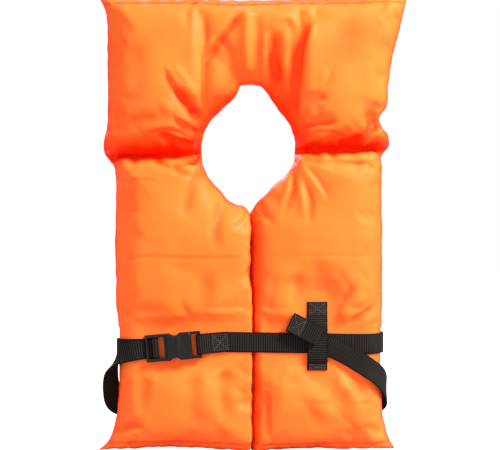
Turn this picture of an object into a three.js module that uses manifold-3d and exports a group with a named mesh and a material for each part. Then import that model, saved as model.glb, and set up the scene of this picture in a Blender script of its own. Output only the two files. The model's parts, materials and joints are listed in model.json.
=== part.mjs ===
// Keyhole life jacket: a foam collar and two foam front panels in coated covers, closed by one
// webbing belt with a side-release buckle.
// Millimetres. X runs across the chest, Y from the front (negative) to the lining (positive), Z up.
// The origin is on the seam at the middle of the neck opening's top edge, where the jacket hangs.

import * as THREE from 'three';
import Module from 'manifold-3d';
import { mergeVertices } from 'three/addons/utils/BufferGeometryUtils.js';

const wasm = await Module();
wasm.setup();

// ---------------------------------------------------------------- driving dimensions

const PAD_THICKNESS = 56;
const COVER_WALL = 1.0;
const FOAM_LAYERS = 3;

const COLLAR_TOP_Z = 109;
const COLLAR_TOP_SAG = 5;
const COLLAR_CORNER_X = 190;
const COLLAR_WAIST_X = 174;
const COLLAR_EAR_X = 181;
const FOLD_Z = -89;

const PANEL_HALF_WIDTH = 167;
const PANEL_HEM_Z = -464;
const HEM_CORNER_X = 186;
const HEM_FLARE_HEIGHT = 62;
const HEM_LIFT = 7;

const NECK_WIDTH = 120;
const NECK_TOP_WIDTH = 30;
const NECK_POINT_Z = -160;

const SIDE_ROLL = 28;
const TOP_ROLL = 24;
const HEM_ROLL = 20;
const NECK_ROLL = 17;
const SLIT_ROLL = 20;
const FOLD_ROLL = 20;
const CORNER_ROLL = 22;
const HEM_TIP_ROLL = 9;
const FOLD_SEAM_DEPTH = 3;

const WEB_WIDTH = 25.4;
const WEB_THICKNESS = 1.6;
const THREAD_THICKNESS = 0.6;
const STITCH_MARGIN = 3.2;
const BELT_RIGHT_Z = -326;
const TAIL_BACK_Z = -414;

const BUCKLE_X = -103;
const BUCKLE_Z = -329.6;
const BUCKLE_TILT = THREE.MathUtils.degToRad(5);
const RAIL_WALL = 3.6;
const SOCKET_BODY_LENGTH = 30.5;
const SOCKET_SLOT_LENGTH = 7.8;
const SOCKET_THICKNESS = 12;
const SOCKET_WALL = 2.4;
const PLUG_CROSSBAR_LENGTH = 3.5;
const PLUG_SLOT_LENGTH = 10.3;
const LATCH_LENGTH = 20;
const LATCH_DEPTH = 5.4;

const KEEPER_X = 84;
const KEEPER_ABOVE_BELT = 40.3;
const KEEPER_BELOW_BELT = 20.3;
const KEEPER_UPPER_SEAM = 21;
const KEEPER_LOWER_SEAM = 9;

const TAIL_END_X = 69;
const TAIL_END_Z = -307.6;
const TAIL_END_LENGTH = 37;
const TAIL_END_LIFT = 5;
const TAIL_END_TILT = THREE.MathUtils.degToRad(26.6);

// ---------------------------------------------------------------- clearances

const SEAM_GAP = 0.3;
const LAYER_GAP = 0.3;
const FOAM_EDGE_GAP = 3;
const FOLD_GAP = 0.8;
const SLIT_GAP = 0.9;
const SLIDE_GAP = 0.5;
const BAR_GAP = 0.35;
const STITCH_GAP = 0.25;

// ---------------------------------------------------------------- derived sizes

const MID_SEAM = PAD_THICKNESS / 2;
const FRONT_Y = -PAD_THICKNESS / 2;
const LINING_Y = PAD_THICKNESS / 2;
const LAYER_PITCH = WEB_THICKNESS + LAYER_GAP;
const FIRST_LAYER = LAYER_GAP + WEB_THICKNESS / 2;
const KEEPER_TOP_Z = BELT_RIGHT_Z + WEB_WIDTH / 2 + KEEPER_ABOVE_BELT;
const KEEPER_BOTTOM_Z = BELT_RIGHT_Z - WEB_WIDTH / 2 - KEEPER_BELOW_BELT;
const STITCH_HEIGHT = WEB_WIDTH - 2 * STITCH_MARGIN;
const RAIL_INNER = WEB_WIDTH / 2 + SLIDE_GAP;
const RAIL_OUTER = RAIL_INNER + RAIL_WALL;

// ---------------------------------------------------------------- colours

const ORANGE = { color: 0xff6a10, roughness: 0.45, metalness: 0 };
const LINING_ORANGE = { color: 0xf8641a, roughness: 0.6, metalness: 0 };
const FOAM_WHITE = { color: 0xf1efe6, roughness: 0.9, metalness: 0 };
const WEB_BLACK = { color: 0x2b2826, roughness: 0.8, metalness: 0 };
const THREAD_BLACK = { color: 0x171615, roughness: 0.85, metalness: 0 };
const PLASTIC_BLACK = { color: 0x1d1d1c, roughness: 0.45, metalness: 0 };

// ---------------------------------------------------------------- mesh helpers

/** A closed skin over successive rings of equal length, with a cap on the first and the last. */
function loft(rings, capFaces) {
  const count = rings[0].length;
  const positions = rings.flat().flatMap((point) => point.toArray());
  const faces = [];
  for (let k = 0; k + 1 < rings.length; k += 1) {
    for (let j = 0; j < count; j += 1) {
      const next = (j + 1) % count;
      const [a, b] = [k * count + j, k * count + next];
      const [c, d] = [a + count, b + count];
      faces.push([a, b, d], [a, d, c]);
    }
  }
  const last = (rings.length - 1) * count;
  capFaces(rings[0]).forEach(([a, b, c]) => faces.push([a, c, b]));
  capFaces(rings[rings.length - 1]).forEach(([a, b, c]) => faces.push([last + a, last + b, last + c]));
  return outwards(positions, faces);
}

/** A geometry whose faces point out, whichever way the rings ran. */
function outwards(positions, faces) {
  const at = (i) => new THREE.Vector3().fromArray(positions, i * 3);
  const volume = faces.reduce((sum, [a, b, c]) => sum + at(a).dot(at(b).cross(at(c))), 0);
  const turned = volume < 0 ? faces.map(([a, b, c]) => [a, c, b]) : faces;
  const geometry = new THREE.BufferGeometry();
  geometry.setAttribute('position', new THREE.Float32BufferAttribute(positions, 3));
  geometry.setIndex(turned.flat());
  geometry.computeVertexNormals();
  return geometry;
}

/** Triangles of a flat outline that may be hollow-sided, all turning the way the outline does. */
function outlineCap(ring) {
  const flat = ring.map((point) => new THREE.Vector2(point.x, point.z));
  const faces = THREE.ShapeUtils.triangulateShape(flat, []);
  const turn = faces.reduce((sum, face) => sum + THREE.ShapeUtils.area(face.map((i) => flat[i])), 0);
  const same = Math.sign(turn) === Math.sign(THREE.ShapeUtils.area(flat));
  return same ? faces : faces.map(([a, b, c]) => [a, c, b]);
}

/** Triangles of a four-cornered strap end. */
function strapCap() {
  return [[0, 1, 2], [0, 2, 3]];
}

function toSolid(geometry) {
  const plain = geometry.clone();
  plain.deleteAttribute('normal');
  plain.deleteAttribute('uv');
  const merged = mergeVertices(plain, 1e-4);
  return new wasm.Manifold(new wasm.Mesh({
    numProp: 3,
    vertProperties: new Float32Array(merged.attributes.position.array),
    triVerts: new Uint32Array(merged.index.array),
  }));
}

function toGeometry(solid) {
  const mesh = solid.getMesh();
  const geometry = new THREE.BufferGeometry();
  geometry.setAttribute('position', new THREE.BufferAttribute(mesh.vertProperties, 3));
  geometry.setIndex(new THREE.BufferAttribute(mesh.triVerts, 1));
  geometry.computeVertexNormals();
  return geometry;
}

function add(parent, name, geometry, finish) {
  const mesh = new THREE.Mesh(geometry, new THREE.MeshStandardMaterial(finish));
  mesh.name = name;
  parent.add(mesh);
  return mesh;
}

// ---------------------------------------------------------------- pad outlines

const at = (x, z) => new THREE.Vector2(x, z);
const line = (a, b) => new THREE.LineCurve(a, b);
const bend = (a, middle, b) => new THREE.QuadraticBezierCurve(a, middle, b);
const sweep = (a, b, c, d) => new THREE.CubicBezierCurve(a, b, c, d);
const mix = THREE.MathUtils.lerp;

/** The depth of the seam along an edge that runs from the fold, reaching the middle at a share of it. */
const riseFromFold = (share) => (t) => mix(FOLD_SEAM_DEPTH, MID_SEAM, Math.min(1, t / share));
const fallToFold = (share) => (t) => riseFromFold(share)(1 - t);
const level = (value) => () => value;

/** A roll that holds its middle value and eases to other values at the two corners. */
const rolled = (start, middle, end) => (t) =>
  (t < 0.3 ? mix(start, middle, t / 0.3) : mix(middle, end, Math.max(0, (t - 0.7) / 0.3)));

/**
 * Points round a pad, anticlockwise as seen from the front.
 * Each holds its place, the inward mitre, the seam's depth from the lining and the front roll.
 */
function outlinePoints(edges) {
  const places = edges.flatMap(({ curve, steps, seam, roll }) =>
    Array.from({ length: steps }, (_, i) => {
      const t = i / steps;
      return { place: curve.getPoint(t), seam: seam(t), roll: roll(t) };
    }));
  return places.map((point, i) => {
    const before = places[(i + places.length - 1) % places.length].place;
    const after = places[(i + 1) % places.length].place;
    const into = (a, b) => b.clone().sub(a).normalize().rotateAround(at(0, 0), Math.PI / 2);
    const inA = into(before, point.place);
    const inB = into(point.place, after);
    const middle = inA.clone().add(inB).normalize();
    return { ...point, mitre: middle.divideScalar(Math.max(0.6, middle.dot(inA))) };
  });
}

/** One ring of an outline: each point moved inwards and set at a depth from the lining. */
function ringAt(outline, inset, depth) {
  return outline.map((point) => {
    const flat = point.place.clone().addScaledVector(point.mitre, inset(point));
    return new THREE.Vector3(flat.x, LINING_Y - depth(point), flat.y);
  });
}

const liningRoll = (point) => Math.min(point.seam, point.roll);

/** Inset and depth of the front cover's surface, a wall's thickness inside its skin. */
function frontSection(wall, angle) {
  const inset = (p) => p.roll - (p.roll - wall) * Math.cos(angle);
  const start = (p) => p.seam + SEAM_GAP / 2;
  const depth = (p) => start(p) + (PAD_THICKNESS - wall - start(p)) * Math.sin(angle);
  return [inset, depth];
}

/** Inset and depth of the lining cover's surface, a wall's thickness inside its skin. */
function liningSection(wall, angle) {
  const inset = (p) => liningRoll(p) - (liningRoll(p) - wall) * Math.cos(angle);
  const start = (p) => p.seam - SEAM_GAP / 2;
  const depth = (p) => start(p) - (start(p) - wall) * Math.sin(angle);
  return [inset, depth];
}

/** A cover half: its skin rolls from the flat face to the seam, then back inside the wall. */
function coverHalf(outline, section, steps) {
  const angles = Array.from({ length: steps + 1 }, (_, i) => (i / steps) * (Math.PI / 2));
  const outer = angles.toReversed().map((angle) => ringAt(outline, ...section(0, angle)));
  const inner = angles.map((angle) => ringAt(outline, ...section(COVER_WALL, angle)));
  return loft([...outer, ...inner], outlineCap);
}

/** How far inside the outline the cover's inner wall stands at a depth from the lining. */
function innerInset(point, depth) {
  const front = depth >= point.seam;
  const roll = front ? point.roll : liningRoll(point);
  const span = (front ? PAD_THICKNESS - point.seam : point.seam) - COVER_WALL - SEAM_GAP / 2;
  const share = Math.min(1, Math.abs(depth - point.seam) / span);
  return roll - (roll - COVER_WALL) * Math.sqrt(1 - share * share);
}

/** One flat foam board between two depths, cut to clear the cover all round. */
function foamBoard(outline, nearDepth, farDepth) {
  const inset = (p) => Math.max(innerInset(p, nearDepth), innerInset(p, farDepth)) + FOAM_EDGE_GAP;
  const ring = ringAt(outline, inset, level(0));
  const shape = new THREE.Shape(ring.map((point) => at(point.x, point.z)));
  const board = new THREE.ExtrudeGeometry(shape, {
    depth: farDepth - nearDepth,
    bevelEnabled: false,
  });
  return board.rotateX(Math.PI / 2).translate(0, LINING_Y - nearDepth, 0);
}

/** A whole pad: the front cover, the lining cover and its foam boards. */
function addPad(group, name, outline) {
  add(group, `${name}_front_cover`, coverHalf(outline, frontSection, 5), ORANGE);
  add(group, `${name}_lining_cover`, coverHalf(outline, liningSection, 3), LINING_ORANGE);
  const first = COVER_WALL + LAYER_GAP;
  const pitch = (PAD_THICKNESS - 2 * first + LAYER_GAP) / FOAM_LAYERS;
  for (let i = 0; i < FOAM_LAYERS; i += 1) {
    const near = first + i * pitch;
    const board = foamBoard(outline, near, near + pitch - LAYER_GAP);
    add(group, `${name}_foam_${i + 1}`, board, FOAM_WHITE);
  }
}

// ---------------------------------------------------------------- collar and front panels

const NECK_HALF = NECK_WIDTH / 2;
const NECK_TOP_HALF = NECK_TOP_WIDTH / 2;

/** The collar: a broad arch over the neck opening, with drawn-out corners. */
function collarOutline() {
  const foldZ = FOLD_Z + FOLD_GAP / 2;
  const neckSpread = NECK_HALF - NECK_TOP_HALF;
  const shoulder = (way) => at(way * (NECK_TOP_HALF + 0.55 * neckSpread), 0.4 * foldZ);
  const cheek = (way) => at(way * NECK_HALF, 0.62 * foldZ);
  const inner = (way) => at(way * NECK_HALF, foldZ);
  const ear = (way) => at(way * COLLAR_EAR_X, foldZ);
  const corner = (way) => at(way * COLLAR_CORNER_X, COLLAR_TOP_Z);
  const waistControl = 2 * COLLAR_WAIST_X - (COLLAR_EAR_X + COLLAR_CORNER_X) / 2;
  const waist = (way) => at(way * waistControl, (COLLAR_TOP_Z + foldZ) / 2);
  const topMiddle = at(0, COLLAR_TOP_Z - 2 * COLLAR_TOP_SAG);
  const side = rolled(CORNER_ROLL, SIDE_ROLL, CORNER_ROLL);
  const neckRise = rolled(FOLD_ROLL, NECK_ROLL, NECK_ROLL);
  const neckFall = rolled(NECK_ROLL, NECK_ROLL, FOLD_ROLL);
  const seam = level(MID_SEAM);
  const foldSeam = level(FOLD_SEAM_DEPTH);
  return outlinePoints([
    { curve: line(inner(1), ear(1)), steps: 3, seam: foldSeam, roll: level(FOLD_ROLL) },
    { curve: bend(ear(1), waist(1), corner(1)), steps: 6, seam: riseFromFold(0.34), roll: side },
    { curve: bend(corner(1), topMiddle, corner(-1)), steps: 6, seam, roll: level(TOP_ROLL) },
    { curve: bend(corner(-1), waist(-1), ear(-1)), steps: 6, seam: fallToFold(0.34), roll: side },
    { curve: line(ear(-1), inner(-1)), steps: 3, seam: foldSeam, roll: level(FOLD_ROLL) },
    {
      curve: sweep(inner(-1), cheek(-1), shoulder(-1), at(-NECK_TOP_HALF, 0)),
      steps: 6,
      seam: riseFromFold(0.34),
      roll: neckRise,
    },
    { curve: line(at(-NECK_TOP_HALF, 0), at(NECK_TOP_HALF, 0)), steps: 2, seam, roll: level(NECK_ROLL) },
    {
      curve: sweep(at(NECK_TOP_HALF, 0), shoulder(1), cheek(1), inner(1)),
      steps: 6,
      seam: fallToFold(0.34),
      roll: neckFall,
    },
  ]);
}

/** The right front panel: a long pad from the fold to the flared hem, cut away for the neck. */
function rightPanelOutline() {
  const foldZ = FOLD_Z - FOLD_GAP / 2;
  const slitX = SLIT_GAP / 2;
  const hemInner = at(slitX, PANEL_HEM_Z);
  const hemCorner = at(HEM_CORNER_X, PANEL_HEM_Z);
  const hemMiddle = at(HEM_CORNER_X / 2, PANEL_HEM_Z + 2 * HEM_LIFT);
  const flareTop = at(PANEL_HALF_WIDTH, PANEL_HEM_Z + HEM_FLARE_HEIGHT);
  const flareControl = at(mix(PANEL_HALF_WIDTH, HEM_CORNER_X, 0.2), PANEL_HEM_Z + 0.45 * HEM_FLARE_HEIGHT);
  const outer = at(PANEL_HALF_WIDTH, foldZ);
  const inner = at(NECK_HALF, foldZ);
  const point = at(slitX, NECK_POINT_Z);
  const neckDrop = NECK_POINT_Z - foldZ;
  const jaw = at(NECK_HALF, foldZ + 0.42 * neckDrop);
  const throat = at(0.5 * NECK_HALF, foldZ + 0.78 * neckDrop);
  const seam = level(MID_SEAM);
  const hemRoll = rolled(SLIT_ROLL, HEM_ROLL, HEM_TIP_ROLL);
  const flareRoll = (t) => mix(HEM_TIP_ROLL, SIDE_ROLL, t * t);
  const sideRoll = rolled(SIDE_ROLL, SIDE_ROLL, CORNER_ROLL);
  const neckRoll = rolled(FOLD_ROLL, NECK_ROLL, SLIT_ROLL);
  return outlinePoints([
    { curve: bend(hemInner, hemMiddle, hemCorner), steps: 5, seam, roll: hemRoll },
    { curve: bend(hemCorner, flareControl, flareTop), steps: 3, seam, roll: flareRoll },
    { curve: line(flareTop, outer), steps: 8, seam: fallToFold(0.15), roll: sideRoll },
    { curve: line(outer, inner), steps: 3, seam: level(FOLD_SEAM_DEPTH), roll: level(FOLD_ROLL) },
    { curve: sweep(inner, jaw, throat, point), steps: 6, seam: riseFromFold(0.34), roll: neckRoll },
    { curve: line(point, hemInner), steps: 6, seam, roll: level(SLIT_ROLL) },
  ]);
}

/** The same outline on the other side of the slit, still running anticlockwise. */
function mirrored(outline) {
  return outline.toReversed().map((point) => ({
    ...point,
    place: at(-point.place.x, point.place.y),
    mitre: at(-point.mitre.x, point.mitre.y),
  }));
}

// ---------------------------------------------------------------- straps

/**
 * Four-cornered sections along a smooth route, with some in each span between two of its places.
 * Each is as wide as the webbing, along widthAt(point, tangent).
 */
function strapSections(route, perSpan, widthAt) {
  const curve = new THREE.CatmullRomCurve3(route, false, 'centripetal');
  const steps = perSpan * (route.length - 1);
  return Array.from({ length: steps + 1 }, (_, i) => {
    const point = curve.getPoint(i / steps);
    const tangent = curve.getTangent(i / steps);
    const across = widthAt(point, tangent).normalize().multiplyScalar(WEB_WIDTH / 2);
    const through = tangent.clone().cross(across).normalize().multiplyScalar(WEB_THICKNESS / 2);
    return [[-1, -1], [1, -1], [1, 1], [-1, 1]].map(([w, n]) =>
      point.clone().addScaledVector(across, w).addScaledVector(through, n));
  });
}

/** The direction that points away from the stacked panels, at a place beside them. */
function awayFromPanels(point) {
  const reach = PANEL_HALF_WIDTH - SIDE_ROLL;
  const core = new THREE.Vector3(THREE.MathUtils.clamp(point.x, -reach, reach), 0, point.z);
  return point.clone().sub(core).normalize();
}

/** Across the webbing where it lies on the panels; way is 1 if it runs anticlockwise from above. */
const acrossPanels = (way) => (point, tangent) =>
  awayFromPanels(point).cross(tangent).multiplyScalar(way);

/** A place in the buckle's own frame: along the belt, out from the panels, and up across the belt. */
function onBuckle(along, out, up = 0) {
  const c = Math.cos(BUCKLE_TILT);
  const s = Math.sin(BUCKLE_TILT);
  return new THREE.Vector3(BUCKLE_X + along * c - up * s, FRONT_Y - out, BUCKLE_Z + along * s + up * c);
}

const acrossBuckle = () => new THREE.Vector3(-Math.sin(BUCKLE_TILT), 0, Math.cos(BUCKLE_TILT));

/** Places on an arc round a bar, in the buckle's frame; angles in degrees from along the belt. */
function aroundBar(barAlong, barOut, radius, from, to, steps) {
  return Array.from({ length: steps + 1 }, (_, i) => {
    const angle = THREE.MathUtils.degToRad(mix(from, to, i / steps));
    return onBuckle(barAlong + radius * Math.cos(angle), barOut + radius * Math.sin(angle));
  });
}

// ---------------------------------------------------------------- buckle

const CROSSBAR_END = -SEAM_GAP - PLUG_CROSSBAR_LENGTH;
const MIDDLE_BAR_RADIUS = 1.5;
const MIDDLE_BAR_SPAN = 2.4;
const MIDDLE_BAR_OUT = 4.6;
const MIDDLE_BAR_RIGHT = CROSSBAR_END - PLUG_SLOT_LENGTH;
const MIDDLE_BAR_LEFT = MIDDLE_BAR_RIGHT - MIDDLE_BAR_SPAN;
const OUTER_SLOT_LENGTH = 9;
const OUTER_BAR_ALONG = MIDDLE_BAR_LEFT - OUTER_SLOT_LENGTH;
const OUTER_BAR_RADIUS = 1.4;
const OUTER_BAR_OUT = FIRST_LAYER + LAYER_PITCH + WEB_THICKNESS / 2 + BAR_GAP + OUTER_BAR_RADIUS;
const TURN_RADIUS = MIDDLE_BAR_RADIUS + BAR_GAP + WEB_THICKNESS / 2;
const PLUG_RAIL_OUT = 8.2;
const CROSSBAR_THICKNESS = 9.6;
const GUIDE_WIDTH = 4;
const OVERLAP = 1;

const SOCKET_BAR_RADIUS = 2.0;
const SOCKET_BAR_ALONG = SOCKET_BODY_LENGTH + SOCKET_SLOT_LENGTH + SOCKET_BAR_RADIUS;
const SOCKET_BAR_OUT = 5.4;
const SOCKET_TURN_RADIUS = SOCKET_BAR_RADIUS + BAR_GAP + WEB_THICKNESS / 2;
const SOCKET_RAIL_OUT = [3, 7.8];
const SOCKET_CORNER = 2.5;
const SOCKET_BEVEL = 1.2;
const SOCKET_END_WALL = 4;
const CAVITY_HALF = RAIL_OUTER - SOCKET_WALL;
const FINGER_RADIUS = 7.5;
const FINGER_ALONG = 10;
const FINGER_REACH = 3.2;
const WINDOW_ALONG = [5, 15];

/** A block in the buckle's frame: along, out from the panels, and up. */
function block(along, out, up) {
  const [a, o, u] = [along, out, up].map(([low, high]) => ({ size: high - low, middle: (low + high) / 2 }));
  return new THREE.BoxGeometry(a.size, o.size, u.size).translate(a.middle, -o.middle, u.middle);
}

/** A round bar across the belt, flattened by the span between its two edges' centres. */
function bar(along, span, out, radius, half) {
  const shape = new THREE.Shape();
  shape.absarc(along + span / 2, -out, radius, -Math.PI / 2, Math.PI / 2);
  shape.absarc(along - span / 2, -out, radius, Math.PI / 2, (3 * Math.PI) / 2);
  const geometry = new THREE.ExtrudeGeometry(shape, {
    depth: 2 * half,
    bevelEnabled: false,
    curveSegments: 5,
  });
  return geometry.translate(0, 0, -half);
}

/** A plate seen from the front, with a bevel all round its two faces. */
function plate(points, near, far, bevel) {
  const geometry = new THREE.ExtrudeGeometry(new THREE.Shape(points), {
    depth: far - near - 2 * bevel,
    bevelEnabled: bevel > 0,
    bevelThickness: bevel,
    bevelSize: bevel,
    bevelOffset: -bevel,
    bevelSegments: 1,
    curveSegments: 4,
  });
  return geometry.rotateX(Math.PI / 2).translate(0, -near - bevel, 0);
}

const ordered = (a, b) => [Math.min(a, b), Math.max(a, b)];

function rectangle(x0, x1, z0, z1) {
  return [at(x0, z0), at(x1, z0), at(x1, z1), at(x0, z1)];
}

/** A frame with crossed bars: the outline that a box stitch leaves on the webbing. */
function stitchBox(width, height, thread) {
  const [w, h, t] = [width / 2, height / 2, thread];
  const shape = new THREE.Shape(rectangle(-w, w, -h, h));
  const lean = t * Math.hypot(w, h) / h;
  const rise = t * Math.hypot(w, h) / w;
  const side = [at(w - t, h - t - rise), at(w - t, -h + t + rise), at(lean, 0)];
  const top = [at(w - t - lean, h - t), at(0, rise), at(-w + t + lean, h - t)];
  const holes = [side, side.map((p) => at(-p.x, p.y)), top, top.map((p) => at(p.x, -p.y))];
  shape.holes = holes.map((points) => new THREE.Path(points));
  const geometry = new THREE.ExtrudeGeometry(shape, { depth: thread, bevelEnabled: false });
  return geometry.rotateX(Math.PI / 2);
}

/** The socket half: a flat case open at its mouth, finger windows at its edges, and a strap bar. */
function socketGeometry() {
  const near = SEAM_GAP;
  const far = near + SOCKET_THICKNESS;
  const corner = SOCKET_CORNER;
  const end = SOCKET_BODY_LENGTH;
  const outline = [
    at(0, -RAIL_OUTER),
    at(end - corner, -RAIL_OUTER),
    at(end, -RAIL_OUTER + corner),
    at(end, RAIL_OUTER - corner),
    at(end - corner, RAIL_OUTER),
    at(0, RAIL_OUTER),
  ];
  const inside = [near + SOCKET_WALL, far - SOCKET_WALL];
  let solid = toSolid(plate(outline, near, far, SOCKET_BEVEL));
  const cavity = block([-OVERLAP, end - SOCKET_END_WALL], inside, [-CAVITY_HALF, CAVITY_HALF]);
  solid = solid.subtract(toSolid(cavity));
  for (const way of [-1, 1]) {
    const finger = new THREE.CylinderGeometry(FINGER_RADIUS, FINGER_RADIUS, 3 * SOCKET_THICKNESS, 20);
    finger.translate(FINGER_ALONG, -SOCKET_THICKNESS, way * (RAIL_OUTER + FINGER_RADIUS - FINGER_REACH));
    solid = solid.subtract(toSolid(finger));
    const window = ordered(way * (CAVITY_HALF - OVERLAP), way * (RAIL_OUTER + OVERLAP));
    solid = solid.subtract(toSolid(block(WINDOW_ALONG, inside, window)));
    const rail = ordered(way * RAIL_INNER, way * RAIL_OUTER);
    const length = [end - SOCKET_END_WALL + OVERLAP, SOCKET_BAR_ALONG + SOCKET_BAR_RADIUS];
    solid = solid.add(toSolid(block(length, SOCKET_RAIL_OUT, rail)));
  }
  const strapBar = bar(SOCKET_BAR_ALONG, 0, SOCKET_BAR_OUT, SOCKET_BAR_RADIUS, RAIL_OUTER - OVERLAP);
  return toGeometry(solid.add(toSolid(strapBar)));
}

/** The plug half: two rails with the strap bars between them, a mouth bar and a middle guide. */
function plugGeometry() {
  const near = SEAM_GAP;
  const guideNear = SEAM_GAP + SOCKET_WALL + SLIDE_GAP;
  const start = OUTER_BAR_ALONG - OUTER_BAR_RADIUS;
  const mouthBar = [near, near + CROSSBAR_THICKNESS];
  let solid = toSolid(block([CROSSBAR_END, -SEAM_GAP], mouthBar, [-RAIL_OUTER, RAIL_OUTER]));
  for (const way of [-1, 1]) {
    const rail = ordered(way * RAIL_INNER, way * RAIL_OUTER);
    solid = solid.add(toSolid(block([start, CROSSBAR_END + OVERLAP], [near, PLUG_RAIL_OUT], rail)));
  }
  const middle = (MIDDLE_BAR_LEFT + MIDDLE_BAR_RIGHT) / 2;
  const half = RAIL_OUTER - OVERLAP;
  const outerBar = bar(OUTER_BAR_ALONG, 0, OUTER_BAR_OUT, OUTER_BAR_RADIUS, half);
  const middleBar = bar(middle, MIDDLE_BAR_SPAN, MIDDLE_BAR_OUT, MIDDLE_BAR_RADIUS, half);
  const guideHalf = GUIDE_WIDTH / 2;
  const guide = block([-OVERLAP, LATCH_LENGTH], [guideNear, guideNear + LATCH_DEPTH], [-guideHalf, guideHalf]);
  return toGeometry([outerBar, middleBar, guide].reduce((whole, piece) => whole.add(toSolid(piece)), solid));
}

const LATCH_PIVOT_ALONG = 0.6;
const LATCH_PIVOT_UP = CAVITY_HALF - 4.8;
const LATCH_ARM_HALF = 1.5;
const LATCH_BEVEL = 0.5;
const SHOULDER_ALONG = [7, 13.5];

/** One springy latch arm of the plug, with the shoulder that shows in the socket's finger window. */
function latchGeometry(way) {
  const near = SEAM_GAP + SOCKET_WALL + SLIDE_GAP;
  const shoulder = CAVITY_HALF - SLIDE_GAP;
  const root = LATCH_PIVOT_ALONG;
  const [from, to] = SHOULDER_ALONG;
  const outline = [
    at(root, LATCH_PIVOT_UP - LATCH_ARM_HALF),
    at(to, LATCH_PIVOT_UP - LATCH_ARM_HALF),
    at(LATCH_LENGTH, LATCH_PIVOT_UP - 2 * LATCH_ARM_HALF),
    at(LATCH_LENGTH, LATCH_PIVOT_UP),
    at(to + LATCH_ARM_HALF, shoulder - 1),
    at(to, shoulder),
    at(from, shoulder),
    at(from - LATCH_ARM_HALF, LATCH_PIVOT_UP + LATCH_ARM_HALF),
    at(root, LATCH_PIVOT_UP + LATCH_ARM_HALF),
  ];
  const points = way > 0 ? outline : outline.toReversed().map((p) => at(p.x, -p.y));
  return plate(points, near, near + LATCH_DEPTH, LATCH_BEVEL);
}

// ---------------------------------------------------------------- belt

const DOUBLED_END = 77;
const DOUBLED_LOWER_END = 68;
const DOUBLED_STITCH_LENGTH = 18;
const UPPER_LAYER = FIRST_LAYER + LAYER_PITCH;
const THIRD_LAYER = UPPER_LAYER + LAYER_PITCH;
const FRONT_RUN_END_X = 128;
const FRONT_RUN_GAP = 2.2;
const TAIL_END_LEAF = LAYER_PITCH / 2 + 0.2;

/** The webbing doubled round the socket's bar. */
function socketEndGeometry() {
  const turn = aroundBar(SOCKET_BAR_ALONG, SOCKET_BAR_OUT, SOCKET_TURN_RADIUS, 270, 90, 6);
  const route = [
    onBuckle(DOUBLED_LOWER_END, FIRST_LAYER),
    onBuckle(58, FIRST_LAYER),
    onBuckle(48, FIRST_LAYER + 0.3),
    ...turn,
    onBuckle(46, SOCKET_BAR_OUT + 1.8),
    onBuckle(54, UPPER_LAYER + 0.2),
    onBuckle(62, UPPER_LAYER),
    onBuckle(DOUBLED_END, UPPER_LAYER),
  ];
  return loft(strapSections(route, 2, acrossBuckle), strapCap);
}

/** The belt across the front, from the doubled end to the start of the wrap. */
function frontRunGeometry() {
  const start = onBuckle(DOUBLED_LOWER_END + FRONT_RUN_GAP, FIRST_LAYER);
  const route = [
    start,
    new THREE.Vector3(KEEPER_X, start.y, mix(start.z, BELT_RIGHT_Z, 0.7)),
    new THREE.Vector3(FRONT_RUN_END_X - 2 * LAYER_GAP, start.y, BELT_RIGHT_Z),
  ];
  return loft(strapSections(route, 3, acrossPanels(1)), strapCap);
}

/** A place off the skin round one side of the panels; the angle is in degrees from straight in front. */
function besideSide(way, degrees, offset, z) {
  const angle = THREE.MathUtils.degToRad(degrees);
  const roll = degrees < 90 ? SIDE_ROLL : Math.min(SIDE_ROLL, PAD_THICKNESS / 2);
  const x = way * (PANEL_HALF_WIDTH - roll + (roll + offset) * Math.sin(angle));
  return new THREE.Vector3(x, -(PAD_THICKNESS / 2 + offset) * Math.cos(angle), z);
}

/** Places all the way round one side, from its front to its lining. */
function roundSide(way, offset, heights, steps) {
  return Array.from({ length: steps + 1 }, (_, i) => {
    const share = i / steps;
    return besideSide(way, 180 * share, offset, mix(heights[0], heights[1], share));
  });
}

// The tail's places beside each panel: degrees from the front, distance off the skin, height.
const TAIL_LEFT_SIDE = [
  [11, 4.2, -2],
  [48, 4.6, -8],
  [81, 9.5, -26],
  [98, 15.4, -48],
  [123, 12.5, -70],
];
const TAIL_RIGHT_SIDE = [
  [173, 4.3, 0],
  [130, 7.5, 8],
  [90, 6, 24],
  [45, 5.9, 46],
  [11, 4.6, 60],
];

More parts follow.
